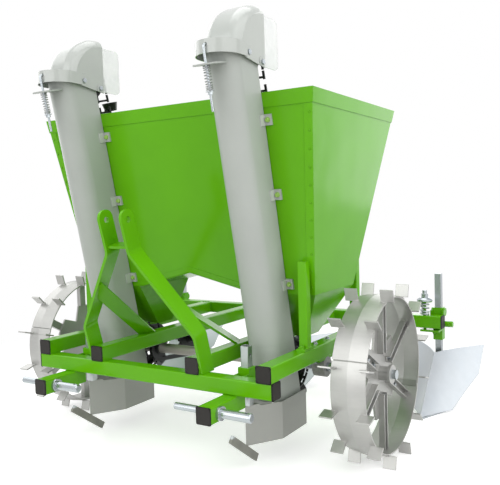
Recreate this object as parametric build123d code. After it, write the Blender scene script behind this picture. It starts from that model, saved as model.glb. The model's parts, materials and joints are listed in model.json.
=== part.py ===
from build123d import *
import os
from math import acos, cos, degrees, hypot, pi, radians, sin, tan

os.makedirs("parts", exist_ok=True)

# Two-row tractor-mounted potato planter, millimetres, +Z up, -Y towards the tractor.
# The model is laid out from the front face of the front crossbar (y = 0), the machine's
# middle (x = 0) and the ground (z = 0), and is moved along Y only when it is written.

# Rows and ground wheels
ROW_SPACING = 675
AXLE_Y = 386
CLEAT_TIP_RADIUS = 290
CLEAT_PHASE = 15
RIM_RADIUS = 255
RIM_WIDTH = 110
RIM_SHEET = 4
RIM_CROWN = 6
RIM_GAP_ANGLE = 0.7
RIM_SEGMENTS = 4
RIM_JOINT_ANGLE = 69.5
LAP_LEAD = 2
LAP_SWEEP = 6
WHEEL_OFFSET = 201
CLEATS_PER_EDGE = 12
CLEAT_WIDTH = 42
CLEAT_INBOARD = 17
CLEAT_SHEET = 5
SPOKES = 6
SPOKE_WIDTH = 28
SPOKE_FLANGE = 20
SPOKE_SHEET = 4
SPOKE_INNER = 65
HUB_PLATE_RADIUS = 150
HUB_PLATE_WAIST = 96
HUB_ARM_ANGLE = 13
HUB_PLATE_SHEET = 8
HUB_WALL = 8
HUB_LENGTH = 96
HUB_FLANGE_RIM = 8
HUB_FLANGE = 9
BOLT_INSET = 15
AXLE_RADIUS = 15
AXLE_OVERHANG = 14
BEARING_WALL = 19
BEARING_WIDTH = 42
BEARING_FOOT = 60
RUNNING_CLEARANCE = 0.05
CUT_PAST = 1

# Welded frame of square tube
TUBE = 50
TUBE_WALL = 4
TUBE_CORNER = 5
CROSSBAR_TOP = 316
OUTER_BEAM_GAP = 42.5
INNER_BEAM_GAP = 55
TOOLBAR_Y = 1000
TOOLBAR_END = 29
CAP_HEAD = 4
CAP_PLUG = 16
CAP_CLEARANCE = 0.3

# Three-point hitch
STUB_X = 338
STUB_REACH = 131
PIN_Y = -88
PIN_INNER_RADIUS = 11
PIN_OUTER_RADIUS = 14
PIN_INNER_LENGTH = 109
PIN_OUTER_LENGTH = 109
PIN_COLLAR = 10
PIN_COLLAR_RADIUS = 21
PIN_NUT_RADIUS = 19
PIN_CHAMFER = 3
LINCH_HOLE_RADIUS = 5.5
MAST_BAR = 60
MAST_SHEET = 10
MAST_FOOT_Y = 32
MAST_HOLE_X = 45
MAST_HOLE_Y = -95
MAST_HOLE_Z = 800
MAST_HOLE_RADIUS = 9.75
MAST_LOW_BEND = 105
MAST_HIGH_BEND = 372
MAST_BEND_RADIUS = 40
EAR_ABOVE_HOLE = 32
EAR_FLAT = 2
STAY_BAR = 50
STAY_SHEET = 8
STAY_TOP_Z = 556
STAY_FOOT_Y = 262
STAY_FACE = (-0.66, -0.41, -0.63)

# Hopper
HOPPER_TOP = 1176
HOPPER_BOTTOM = 538
RIM_BAND = 45
HOPPER_TOP_MARGIN = 230.5
HOPPER_BOTTOM_MARGIN = 157.5
HOPPER_FRONT_Y = 145
HOPPER_DEPTH = 698
FRONT_SLOPE = 0.2128
REAR_SLOPE = 0.39
SHEET = 3
LAP_SHEET = 1.5
CORNER_LAP = 26
RIDGE_APEX_Z = 600
RIDGE_GAP = 6.5
RIDGE_LIP = 20
SUMP_BOTTOM = 366
SUMP_MOUTH_HALF = 40.5
SUMP_FRONT_Y = 440
SUMP_REAR_Y = 532
POST = 30
POST_OFFSET = 10
FRONT_POST_TOP = 650
FRONT_POST_Y = 233
REAR_POST_TOP = 700
REAR_POST_Y = 640
FLANGE = 8
FLANGE_MARGIN = 18

# Planting tubes
CHUTE_WIDTH = 110
CHUTE_STRAIGHT = 90
CHUTE_SHEET = 2.5
CHUTE_TOP = 1296
CHUTE_BOTTOM = 190
CHUTE_WINDOW_TOP = 380
CHUTE_WINDOW_HALF = 46
CHUTE_NOTCH_BOTTOM = 1212
TAB_HEIGHT = 34
TAB_WIDTH = 26
TAB_SHEET = 4
TAB_LEVELS = (572, 864, 1094)
BOLT_RADIUS = 5
BOLT_HEAD_RADIUS = 8.5
BOLT_CLEARANCE = 1
BRACKET_Z = 1237
BRACKET_LIP = 16
BRACKET_HALF = 40
BRACKET_ROOT_HALF = 30
BRACKET_SHEET = 5

# Cup chain
CHAIN_LOWER_RADIUS = 90
CHAIN_UPPER_RADIUS = 60
CHAIN_SPAN = 1040
CHAIN_LINKS = 60
LINKS_PER_CUP = 4
CUP_PHASE = {"left": 3, "right": 0}
LINK_WIDTH = 56
LINK_BAR = 7
LINK_SHEET = 5
LINK_GAP = 3
HOOD_CHAIN_DROP = 12
FRONT_CHAIN_GAP = 5
REAR_CHAIN_GAP = 13
WHEEL_CLEARANCE = 1
WHEEL_WALL = 7
WHEEL_HOLES = 6
CUP_RADIUS = 29
CUP_BASE_RADIUS = 22
CUP_DEPTH = 30
CUP_SHEET = 3
CUP_STAND = 7
DRIVE_SLEEVE_WALL = 4
CHAIN_WHEEL_WIDTH = 38
TOP_SHAFT_RADIUS = 8

# Step-up drive from the axle over a countershaft to the cup chains
DRIVE_PITCH = 19.05
AXLE_TEETH = 20
COUNTER_IN_TEETH = 14
COUNTER_OUT_TEETH = 21
SLEEVE_TEETH = 15
COUNTER_Y = 575
COUNTER_RADIUS = 10
COUNTER_END = 18
OUTER_DRIVE_GAP = 14.5
INNER_DRIVE_GAP = 47.5
SPROCKET_SHEET = 8
SPROCKET_HUB = 20
TOOTH_HEIGHT = 3
ROLLER_RADIUS = 6
PLATE_SHEET = 2
PLATE_HEIGHT = 15
PLATE_GAP = 1
PINS_CLEAR = 2

# Hoods over the top of the planting tubes
HOOD_GAP = 11
HOOD_SHEET = 3
HOOD_BOTTOM = 1266
HOOD_REAR_BOTTOM = 1250
HOOD_REAR_Y = 158
HOOD_DOME_RADIUS = 160
HOOD_DOME_Z = 1281
HOOD_SHOULDER = 40
HOOD_FIELD_RADIUS = 130
HOOD_STEP = 1.5
COLLAR_STEP = 6
COLLAR_Y = 8
COLLAR_HEIGHT = 40
PIVOT_Y = 62
PIVOT_Z = 1282
CHEEK_BOLT_Y = 141
CHEEK_BOLT_Z = 1266
BOSS_RADIUS = 14
BOSS_DEPTH = 12
GUARD_SHEET = 4
GUARD_REACH = 84
GUARD_OVERLAP = 14
GUARD_TOP = 1410
GUARD_CORNER = 18
ROD_RADIUS = 4
ROD_STANDOFF = 46.5
ROD_HOOK_Z = 1288
ROD_HOOK_REACH = 22
ROD_END_Z = 1104
ROD_SLOT_WIDTH = 10
ROD_SLOT_LENGTH = 18
ROD_WASHER = 3
SPRING_RADIUS = 11.5
SPRING_WIRE = 1.8
SPRING_LENGTH = 72
SPRING_TURNS = 12

# Furrow openers
OPENER_GAP = 15
OPENER_NOSE_Y = 87
OPENER_FOLD_Y = 200
OPENER_REAR_Y = 365
OPENER_TOP = 203
OPENER_BOTTOM = 82
OPENER_SHEET = 4
NOSE_PLATE = 6
STEM = 28
STEM_WALL = 3
STEM_Y = 104
STEM_TOP = 396
STEM_CLEARANCE = 0.4
STEM_HOLE_RADIUS = 5
SLEEVE_WALL = 6
SLEEVE_LOW = 250
SLEEVE_HIGH = 330
SLEEVE_CHEEK_INSET = 4
CLAMP_BOSS_RADIUS = 9
CLAMP_BOSS = 12
CLAMP_HEAD_RADIUS = 11
CLAMP_HEAD = 14
RUNNER_LENGTH = 176
RUNNER_HEIGHT = 24
RUNNER_SHEET = 10
RUNNER_Y = 75
RUNNER_ANGLE = 36

# Ridging bodies on the rear toolbar
RIDGER_INSET = 14
RIDGER_BAR = 25
RIDGER_BAR_TOP = 531
RIDGER_BAR_BOTTOM = 150
HOLDER_WALL = 6
HOLDER_GAP = 10
HOLDER_LOW = 300
HOLDER_HIGH = 392
HOLDER_FOOT = 40
HOLDER_BOSS_RADIUS = 12
HOLDER_BOSS = 26
HOLDER_HEAD = 12
TRUNNION_Z = 374
TRUNNION_RADIUS = 6
LUG_SHEET = 8
LUG_GAP = 1
TRIP_BOLT_OFFSET = 42
TRIP_BOLT_RADIUS = 6
TRIP_BOLT_TOP = 466
TRIP_SPRING_RADIUS = 19
TRIP_SPRING_WIRE = 3.5
TRIP_SPRING_LENGTH = 54
TRIP_SPRING_TURNS = 4
TRIP_WASHER_RADIUS = 30
TRIP_WASHER = 6
TRIP_ARM = 15
TRIP_SLOT_HALF = 8
TRIP_SLOT = 24
NOSE_LOW_LEAD = 272.5
NOSE_LOW_Z = 8
NOSE_HIGH_LEAD = 73.5
NOSE_HIGH_Z = 218
WING_HALF = 145
WING_DEPTH = 225
WING_BOW_X = 52.2
WING_BOW_Y = 101.25
WING_SHEET = 4
WING_LAP = 3.6
WING_TOE_HALF = 60
WING_TOE_LEAD = 125.5
WING_TAIL_CUT = 40
SHARE_SHEET = 6
SHARE_LEAD = 8
SHARE_NOTCH = 60
FROG_INSET = 20

# Levels and places that follow from the driving sizes
ROW_X = ROW_SPACING / 2
ROWS = {"left": -ROW_X, "right": ROW_X}
AXLE_Z = CLEAT_TIP_RADIUS * cos(radians(CLEAT_PHASE)) + CLEAT_SHEET / 2 * sin(radians(CLEAT_PHASE))
CROSSBAR_BOTTOM = CROSSBAR_TOP - TUBE
BEAM_TOP = CROSSBAR_TOP + TUBE
OUTER_BEAM_X = ROW_X + CHUTE_WIDTH / 2 + OUTER_BEAM_GAP + TUBE / 2
INNER_BEAM_X = ROW_X - CHUTE_WIDTH / 2 - INNER_BEAM_GAP - TUBE / 2
CROSSBAR_HALF = OUTER_BEAM_X + TUBE / 2
WHEEL_X = OUTER_BEAM_X + WHEEL_OFFSET
POST_X = OUTER_BEAM_X + POST_OFFSET
HOPPER_HALF = ROW_X + HOPPER_TOP_MARGIN
HOPPER_BOTTOM_HALF = ROW_X + HOPPER_BOTTOM_MARGIN
RIDGE_HALF = ROW_X - CHUTE_WIDTH / 2 - TAB_WIDTH - RIDGE_GAP
HUB_RADIUS = AXLE_RADIUS + HUB_WALL
HUB_FLANGE_RADIUS = HUB_RADIUS + HUB_FLANGE_RIM
BEARING_RADIUS = AXLE_RADIUS + BEARING_WALL
DRIVE_SLEEVE_RADIUS = AXLE_RADIUS + DRIVE_SLEEVE_WALL
HOOD_HALF = CHUTE_WIDTH / 2 + HOOD_GAP
COLLAR_RADIUS = HOOD_HALF + COLLAR_STEP
OPENER_HALF = CHUTE_WIDTH / 2 + OPENER_GAP
OUTER_DRIVE_X = -(ROW_X + OPENER_HALF + OUTER_DRIVE_GAP)
INNER_DRIVE_X = -(INNER_BEAM_X + INNER_DRIVE_GAP)
PIN_Z = CROSSBAR_BOTTOM - TUBE / 2
LEAN = degrees(acos(1 / hypot(1, FRONT_SLOPE)))
TAB_STANDOFF = SHEET * cos(radians(LEAN))
RIM_BOTTOM_Z = HOPPER_TOP - RIM_BAND
ROD_LOCAL_Y = -(CHUTE_STRAIGHT + CHUTE_WIDTH / 2 + ROD_STANDOFF)
HOLDER_OUTER = RIDGER_BAR + 2 * HOLDER_WALL
RIDGER_BAR_Y = TOOLBAR_Y + TUBE + HOLDER_GAP + HOLDER_OUTER / 2
NOSE_LOW_Y = RIDGER_BAR_Y - NOSE_LOW_LEAD
NOSE_HIGH_Y = RIDGER_BAR_Y - NOSE_HIGH_LEAD
WING_TOE_Y = RIDGER_BAR_Y - WING_TOE_LEAD
RIDGER_X = ROW_SPACING - RIDGER_INSET
RIDGER_PLACES = {"left": -RIDGER_X, "middle": 0, "right": RIDGER_X}
TOOLBAR_HALF = RIDGER_X + TOOLBAR_END
FRONT_LIMIT = -STUB_REACH - CAP_HEAD
REAR_LIMIT = NOSE_HIGH_Y + WING_DEPTH + WING_LAP
ORIGIN_SHIFT = Pos(0, -(FRONT_LIMIT + REAR_LIMIT) / 2, 0)


def block(x0, x1, y0, y1, z0, z1):
    """Axis-aligned block between two corners."""
    solid = Box(x1 - x0, y1 - y0, z1 - z0)
    return Pos((x0 + x1) / 2, (y0 + y1) / 2, (z0 + z1) / 2) * solid


def rod_x(radius, x0, x1, y, z):
    """Round bar along X."""
    return Pos((x0 + x1) / 2, y, z) * Rot(0, 90, 0) * Cylinder(radius, x1 - x0)


def rod_z(radius, x, y, z0, z1):
    """Round bar along Z."""
    return Pos(x, y, (z0 + z1) / 2) * Cylinder(radius, z1 - z0)


def square_tube(length, size=TUBE, wall=TUBE_WALL, corner=TUBE_CORNER):
    """Square tube with rounded corners, standing on the origin."""
    outside = RectangleRounded(size, size, corner)
    inside = RectangleRounded(size - 2 * wall, size - 2 * wall, corner / 2)
    return extrude(outside - inside, amount=length)


def tube_x(x0, x1, y, z):
    """Frame tube along X about the line (y, z)."""
    return Pos(x0, y, z) * Rot(0, 90, 0) * square_tube(x1 - x0)


def tube_y(x, y0, y1, z):
    """Frame tube along Y about the line (x, z)."""
    return Pos(x, y0, z) * Rot(-90, 0, 0) * square_tube(y1 - y0)


def end_cap(size=TUBE, wall=TUBE_WALL):
    """Plastic plug for a tube's end: head on +Z, plug on -Z."""
    head = extrude(RectangleRounded(size, size, TUBE_CORNER), amount=CAP_HEAD)
    plug_size = size - 2 * wall - 2 * CAP_CLEARANCE
    plug = extrude(RectangleRounded(plug_size, plug_size, TUBE_CORNER / 2), amount=-CAP_PLUG)
    return head + plug


def yz_prism(points, x0, x1):
    """Outline in the YZ plane, thickened from x0 to x1."""
    face = make_face(Polyline(*[(0, y, z) for y, z in points], close=True))
    return Pos(x0, 0, 0) * extrude(face, amount=x1 - x0, dir=(1, 0, 0))


def xz_prism(points, y0, y1):
    """Outline in the XZ plane, thickened from y0 to y1."""
    face = make_face(Polyline(*[(x, 0, z) for x, z in points], close=True))
    return Pos(0, y0, 0) * extrude(face, amount=y1 - y0, dir=(0, 1, 0))


def xy_prism(points, z0, z1):
    """Outline in the XY plane, thickened from z0 to z1."""
    face = make_face(Polyline(*[(x, y, 0) for x, y in points], close=True))
    return Pos(0, 0, z0) * extrude(face, amount=z1 - z0, dir=(0, 0, 1))


def mirrored(solid):
    """The same piece on the other side of the machine's middle."""
    return mirror(solid, about=Plane.YZ)


def write(node, *solids):
    """Write one node, moved to the origin under the middle of the machine."""
    placed = [ORIGIN_SHIFT * solid for solid in solids]
    shape = placed[0] if len(placed) == 1 else Compound(children=placed)
    export_step(shape, os.path.join("parts", node + ".step"))


def front_plane_y(z):
    """Y of the hopper's front panel, outside, at a height."""
    return HOPPER_FRONT_Y + FRONT_SLOPE * (HOPPER_TOP - z)


def rear_plane_y(z):
    """Y of the hopper's rear panel, outside, at a height."""
    return HOPPER_FRONT_Y + HOPPER_DEPTH - REAR_SLOPE * (HOPPER_TOP - z)


# Frame


def frame_tubes():
    """Front crossbar, the four long beams on top of it, and the rear toolbar."""
    beam_z = CROSSBAR_TOP + TUBE / 2
    crossbar = tube_x(-CROSSBAR_HALF, CROSSBAR_HALF, TUBE / 2, CROSSBAR_TOP - TUBE / 2)
    write("front_crossbar", crossbar)
    outer = tube_y(OUTER_BEAM_X, 0, TOOLBAR_Y, beam_z)
    write("outer_beams", outer, mirrored(outer))
    inner = tube_y(INNER_BEAM_X, 0, TOOLBAR_Y, beam_z)
    write("inner_beams", inner, mirrored(inner))
    toolbar = tube_x(-TOOLBAR_HALF, TOOLBAR_HALF, TOOLBAR_Y + TUBE / 2, beam_z)
    slot_start = TOOLBAR_Y + TUBE / 2 - TRIP_SLOT_HALF
    for x in RIDGER_PLACES.values():
        left = x - TRIP_BOLT_OFFSET - TRIP_SLOT_HALF
        right = x - TRIP_BOLT_OFFSET + TRIP_SLOT_HALF
        toolbar -= block(left, right, slot_start, slot_start + TRIP_SLOT,
                         CROSSBAR_TOP - CUT_PAST, BEAM_TOP + CUT_PAST)
    write("rear_toolbar", toolbar)


def frame_caps():
    """Black caps on every open tube end that faces out."""
    beam_z = CROSSBAR_TOP + TUBE / 2
    caps = []
    for x in (-OUTER_BEAM_X, -INNER_BEAM_X, INNER_BEAM_X, OUTER_BEAM_X):
        caps.append(Pos(x, 0, beam_z) * Rot(90, 0, 0) * end_cap())
    for x in (-STUB_X, STUB_X):
        caps.append(Pos(x, -STUB_REACH, PIN_Z) * Rot(90, 0, 0) * end_cap())
    for half, y, z in ((CROSSBAR_HALF, TUBE / 2, CROSSBAR_TOP - TUBE / 2),
                       (TOOLBAR_HALF, TOOLBAR_Y + TUBE / 2, beam_z)):
        caps.append(Pos(half, y, z) * Rot(0, 90, 0) * end_cap())
        caps.append(Pos(-half, y, z) * Rot(0, -90, 0) * end_cap())
    write("end_caps", *caps)


def hitch():
    """Lower hitch stubs with stepped pins that pass through them."""
    stub = tube_y(STUB_X, -STUB_REACH, TUBE, PIN_Z)
    stub -= rod_x(PIN_INNER_RADIUS + CAP_CLEARANCE, STUB_X - TUBE, STUB_X + TUBE, PIN_Y, PIN_Z)
    write("hitch_stubs", stub, mirrored(stub))
    inner_face = STUB_X - TUBE / 2
    outer_face = STUB_X + TUBE / 2
    pin = rod_x(PIN_INNER_RADIUS, inner_face - PIN_INNER_LENGTH, outer_face + PIN_COLLAR, PIN_Y, PIN_Z)
    pin += rod_x(PIN_OUTER_RADIUS, outer_face, outer_face + PIN_OUTER_LENGTH, PIN_Y, PIN_Z)
    pin += rod_x(PIN_COLLAR_RADIUS, outer_face, outer_face + PIN_COLLAR, PIN_Y, PIN_Z)
    nut = extrude(RegularPolygon(PIN_NUT_RADIUS, 6), amount=PIN_COLLAR)
    pin += Pos(inner_face - PIN_COLLAR, PIN_Y, PIN_Z) * Rot(0, 90, 0) * nut
    hole_x = outer_face + PIN_OUTER_LENGTH - 3 * LINCH_HOLE_RADIUS
    pin -= rod_z(LINCH_HOLE_RADIUS, hole_x, PIN_Y, PIN_Z - TUBE, PIN_Z + TUBE)
    pin = chamfer(pin.faces().sort_by(Axis.X)[-1].edges(), PIN_CHAMFER)
    write("hitch_pins", pin, Pos(-2 * STUB_X, 0, 0) * pin)


def mast_frame():
    """Plane of the mast: local X across, local Y up the mast, leaning to the front."""
    foot_z = CROSSBAR_TOP + TUBE / 2
    rise = MAST_HOLE_Z - foot_z
    run = MAST_HOLE_Y - MAST_FOOT_Y
    length = hypot(rise, run)
    up = (0, run / length, rise / length)
    normal = (0, -up[2], up[1])
    return Plane(origin=(0, MAST_FOOT_Y, foot_z), x_dir=(1, 0, 0), z_dir=normal), length


def mast():
    """Two bent flat bars with rounded ears, a spacer plate and two diagonal stays."""
    plane, hole_up = mast_frame()
    foot_x = INNER_BEAM_X + TUBE / 2 + MAST_SHEET / 2
    top_up = hole_up + EAR_ABOVE_HOLE
    line = FilletPolyline((foot_x, -TUBE, 0), (foot_x, MAST_LOW_BEND, 0), (MAST_HOLE_X, MAST_HIGH_BEND, 0),
                          (MAST_HOLE_X, top_up, 0), radius=MAST_BEND_RADIUS)
    leg = extrude(trace(line, line_width=MAST_SHEET), amount=MAST_BAR / 2, both=True)
    ear_edges = leg.faces().sort_by(Axis.Y)[-1].edges().filter_by(Axis.X)
    leg = fillet(ear_edges, MAST_BAR / 2 - EAR_FLAT)
    leg -= Pos(MAST_HOLE_X, hole_up, 0) * Rot(0, 90, 0) * Cylinder(MAST_HOLE_RADIUS, 4 * MAST_SHEET)
    leg = plane * leg
    leg -= block(-CROSSBAR_HALF, CROSSBAR_HALF, -TOOLBAR_Y, TOOLBAR_Y, 0, CROSSBAR_TOP)
    write("mast_legs", leg, mirrored(leg))
    gap = MAST_HOLE_X - MAST_SHEET / 2
    spacer_up = MAST_HIGH_BEND + 2 * MAST_SHEET
    spacer = plane * Pos(0, spacer_up, 0) * Box(2 * gap, STAY_SHEET, MAST_BAR - 2 * STAY_SHEET)
    stay = mast_stay(plane, leg)
    write("mast_braces", spacer, stay, mirrored(stay))


def mast_stay(plane, leg):
    """Flat bar from the slanting part of the right leg down to the inner beam's top."""
    low = Vector(INNER_BEAM_X, STAY_FOOT_Y, BEAM_TOP)
    up = (STAY_TOP_Z - plane.origin.Z) / plane.y_dir.Z
    share = (up - MAST_LOW_BEND) / (MAST_HIGH_BEND - MAST_LOW_BEND)
    foot_x = INNER_BEAM_X + TUBE / 2
    top_x = foot_x + share * (MAST_HOLE_X - foot_x)
    top = plane.origin + plane.y_dir * up + Vector(top_x - MAST_SHEET, 0, 0)
    along = (top - low).normalized()
    width = along.cross(Vector(*STAY_FACE)).normalized()
    flat = along.cross(width).normalized()
    length = (top - low).length
    bar_plane = Plane(origin=(top + low) * 0.5, x_dir=width, z_dir=flat)
    bar = bar_plane * Box(STAY_BAR, length + 2 * STAY_BAR, STAY_SHEET)
    bar -= block(-CROSSBAR_HALF, CROSSBAR_HALF, -TOOLBAR_Y, TOOLBAR_Y, 0, BEAM_TOP)
    bar -= leg
    return bar.solids().sort_by(SortBy.VOLUME)[-1]


# Hopper


def hopper_section(z, inset):
    """Rectangle of the hopper's body at a height, drawn in from the rim band's outside."""
    share = (z - HOPPER_BOTTOM) / (HOPPER_TOP - HOPPER_BOTTOM)
    side = HOPPER_BOTTOM_HALF + share * (HOPPER_HALF - HOPPER_BOTTOM_HALF) - inset
    front = front_plane_y(z) + inset
    rear = rear_plane_y(z) - inset
    outline = Polyline((-side, front, z), (side, front, z), (side, rear, z), (-side, rear, z), close=True)
    return make_face(outline)


def hopper_frustum(inset, low=HOPPER_BOTTOM):
    """Tapered body of the hopper from a height to its top, drawn in by a distance."""
    return loft([hopper_section(low, inset), hopper_section(HOPPER_TOP, inset)], ruled=True)


def hopper():
    """Sheet panels with lapped corners, the rim band, the floor ridge and the two sumps."""
    outer = hopper_frustum(SHEET)
    shell = outer - hopper_frustum(2 * SHEET)
    lap_skin = hopper_frustum(SHEET - LAP_SHEET) - outer
    lap_skin -= block(-HOPPER_HALF, HOPPER_HALF, 0, TOOLBAR_Y, RIM_BOTTOM_Z, HOPPER_TOP + CUT_PAST)
    ridge_outside = [(-RIDGE_HALF, HOPPER_BOTTOM), (0, RIDGE_APEX_Z), (RIDGE_HALF, HOPPER_BOTTOM)]
    ridge_wedge = xz_prism(ridge_outside, 0, TOOLBAR_Y)
    shell -= ridge_wedge
    lap_skin -= ridge_wedge
    middle_y = HOPPER_FRONT_Y + HOPPER_DEPTH / 2
    wide = 2 * HOPPER_HALF
    front_half = block(-wide, wide, 0, middle_y, 0, HOPPER_TOP)
    between = between_sides(2 * SHEET)
    ends = shell & between
    lap_skin &= between_sides(SHEET)
    corner_laps = lap_skin - between_sides(2 * SHEET + CORNER_LAP)
    sides = (shell - between) + corner_laps
    write("hopper_front_panel", ends & front_half)
    write("hopper_rear_panel", ends - front_half)
    write("hopper_side_panels", *sides.solids())
    write("hopper_rim", hopper_frustum(0, RIM_BOTTOM_Z) - hopper_frustum(SHEET, RIM_BOTTOM_Z))
    slope = hypot(RIDGE_HALF, RIDGE_APEX_Z - HOPPER_BOTTOM) / RIDGE_HALF
    under_ridge = xz_prism(ridge_outside, -CUT_PAST, TOOLBAR_Y + CUT_PAST)
    ridge = (ridge_wedge - Pos(0, 0, -SHEET * slope) * under_ridge) & outer
    lips = lap_skin & Pos(0, 0, RIDGE_LIP * slope) * ridge_wedge
    write("hopper_floor_ridge", ridge, *lips.solids())
    sump_right = sump(SHEET) - sump(2 * SHEET)
    write("sumps", sump_right, mirrored(sump_right))
    return hopper_frustum(SHEET - LAP_SHEET)


def between_sides(inset):
    """Everything between the hopper's two slanting sides, drawn in by a distance."""
    low = HOPPER_BOTTOM_HALF - inset
    high = HOPPER_HALF - inset
    outline = [(-low, HOPPER_BOTTOM), (low, HOPPER_BOTTOM), (high, HOPPER_TOP), (-high, HOPPER_TOP)]
    return xz_prism(outline, 0, TOOLBAR_Y)


def sump(inset):
    """Funnel under one row's side of the hopper, drawn in like the body above it."""
    top_z = HOPPER_BOTTOM
    near = RIDGE_HALF - SHEET + inset
    far = HOPPER_BOTTOM_HALF - inset
    upper = level_rectangle(near, far, front_plane_y(top_z) + inset, rear_plane_y(top_z) - inset, top_z)
    near = ROW_X - SUMP_MOUTH_HALF - SHEET + inset
    far = ROW_X + SUMP_MOUTH_HALF + SHEET - inset
    front = SUMP_FRONT_Y - SHEET + inset
    rear = SUMP_REAR_Y + SHEET - inset
    lower = level_rectangle(near, far, front, rear, SUMP_BOTTOM)
    return loft([lower, upper], ruled=True)


def level_rectangle(x0, x1, y0, y1, z):
    """Flat rectangle at a height."""
    return make_face(Polyline((x0, y0, z), (x1, y0, z), (x1, y1, z), (x0, y1, z), close=True))


def posts(hopper_body):
    """Four upright tubes with bolted feet that carry the hopper on the outer beams."""
    made = []
    left = POST_X - POST / 2
    right = POST_X + POST / 2
    for y, top in ((FRONT_POST_Y, FRONT_POST_TOP), (REAR_POST_Y, REAR_POST_TOP)):
        post = Pos(POST_X, y + POST / 2, BEAM_TOP) * square_tube(top - BEAM_TOP, POST, SHEET, SHEET)
        post += block(left, right, y, y + POST, top - SHEET, top)
        post += block(left, OUTER_BEAM_X + TUBE / 2, y - FLANGE_MARGIN, y + POST + FLANGE_MARGIN,
                      BEAM_TOP, BEAM_TOP + FLANGE)
        post -= hopper_body
        made += [post, mirrored(post)]
    write("hopper_posts", *made)


def along_tube(z, local_y):
    """Distance up the leaning tube at which a line in front of its back passes a height."""
    return (z - local_y * sin(radians(LEAN))) / cos(radians(LEAN))


# Planting tubes


def leaning(solid, x):
    """Place a piece drawn on the panel's foot line against the hopper's front panel."""
    foot_y = front_plane_y(0)
    return Pos(x, foot_y, 0) * Rot(LEAN, 0, 0) * solid


def chute_outline(inset):
    """Rounded-front section of the planting tube, back on Y = 0."""
    half = CHUTE_WIDTH / 2 - inset
    back = -inset
    front = -CHUTE_STRAIGHT
    line = Polyline((-half, front), (-half, back), (half, back), (half, front))
    arc = ThreePointArc((half, front), (0, front - half), (-half, front))
    return make_face(Curve() + [line, arc])


def planting_tube(x):
    """Rounded sheet tube with side tabs and a spring bracket, and the spout below it that is open behind."""
    tube = extrude(chute_outline(0) - chute_outline(CHUTE_SHEET), amount=2 * CHUTE_TOP)
    tube = leaning(tube, x)
    tube &= block(x - CHUTE_WIDTH, x + CHUTE_WIDTH, -TOOLBAR_Y, TOOLBAR_Y, CHUTE_BOTTOM, CHUTE_TOP)
    left = x - CHUTE_WINDOW_HALF
    right = x + CHUTE_WINDOW_HALF
    for low, high in ((CHUTE_BOTTOM, CHUTE_WINDOW_TOP), (CHUTE_NOTCH_BOTTOM, CHUTE_TOP)):
        open_from = front_plane_y(high) - 2 * CHUTE_SHEET
        tube -= block(left, right, open_from, TOOLBAR_Y, low - CUT_PAST * (low == CHUTE_BOTTOM),
                      high + CUT_PAST * (high == CHUTE_TOP))
    for up, side in tab_places():
        thick = TAB_SHEET + TAB_STANDOFF
        middle = side * (CHUTE_WIDTH / 2 + TAB_WIDTH / 2)
        tab = Pos(middle, TAB_STANDOFF - thick / 2, up) * Box(TAB_WIDTH, thick, TAB_HEIGHT)
        hole = Cylinder(BOLT_RADIUS + BOLT_CLEARANCE, TUBE)
        tab -= Pos(middle, 0, up) * Rot(90, 0, 0) * hole
        tube += leaning(tab, x)
    tube += spring_bracket(x)
    spout_space = block(x - CHUTE_WIDTH, x + CHUTE_WIDTH, -TOOLBAR_Y, TOOLBAR_Y, 0, CHUTE_WINDOW_TOP)
    return [tube - spout_space, tube & spout_space]


def tab_places():
    """Distance up the tube and side of each tab."""
    return [(along_tube(level, 0), side) for level in TAB_LEVELS for side in (-1, 1)]


def spring_bracket(x):
    """Slotted ear square to the tube's front that the tension rod passes through."""
    front = ROD_LOCAL_Y - BRACKET_LIP
    root = -CHUTE_STRAIGHT
    outline = [(-BRACKET_HALF, front), (BRACKET_HALF, front),
               (BRACKET_ROOT_HALF, root), (-BRACKET_ROOT_HALF, root)]
    seat = along_tube(BRACKET_Z, ROD_LOCAL_Y)
    ear = xy_prism(outline, seat - BRACKET_SHEET, seat)
    corners = ear.edges().filter_by(Axis.Z).sort_by(Axis.Y)[:2]
    ear = fillet(corners, BRACKET_LIP / 2)
    ear -= extrude(chute_outline(CHUTE_SHEET / 2), amount=2 * CHUTE_TOP)
    ear -= Pos(0, ROD_LOCAL_Y, seat) * Box(ROD_SLOT_WIDTH, ROD_SLOT_LENGTH, TUBE)
    return leaning(ear, x)


def tube_bolts():
    """Bolts of the side tabs, and the pivot bolts of the hoods."""
    made = []
    pivots = []
    thick = TAB_SHEET + TAB_STANDOFF
    bolt = hex_head() + Pos(0, 0, -thick / 2) * Cylinder(BOLT_RADIUS, thick)
    for x in ROWS.values():
        for up, side in tab_places():
            at = Pos(side * (CHUTE_WIDTH / 2 + TAB_WIDTH / 2), -TAB_SHEET, up) * Rot(90, 0, 0)
            made.append(leaning(at * bolt, x))
        pivots += [hood_pivot(x, -1), hood_pivot(x, 1)]
    write("tube_bolts", *made)
    write("hood_pivots", *pivots)


def hex_head():
    """Hexagon bolt head standing on the origin."""
    return extrude(RegularPolygon(BOLT_HEAD_RADIUS, 6), amount=BOLT_RADIUS)


def hood_pivot(x, side):
    """Shouldered bolt from the planting tube's side wall through the hood's cheek."""
    wall = CHUTE_WIDTH / 2
    cheek = HOOD_HALF - HOOD_SHEET
    bolt = rod_x(BOLT_RADIUS, wall, HOOD_HALF + BOLT_CLEARANCE, PIVOT_Y, PIVOT_Z)
    bolt += rod_x(BOLT_HEAD_RADIUS, wall, cheek - BOLT_CLEARANCE, PIVOT_Y, PIVOT_Z)
    bolt += Pos(HOOD_HALF + BOLT_CLEARANCE / 2, PIVOT_Y, PIVOT_Z) * Rot(0, 90, 0) * hex_head()
    return Pos(x, 0, 0) * (bolt if side > 0 else mirrored(bolt))


# Cup chain


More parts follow.
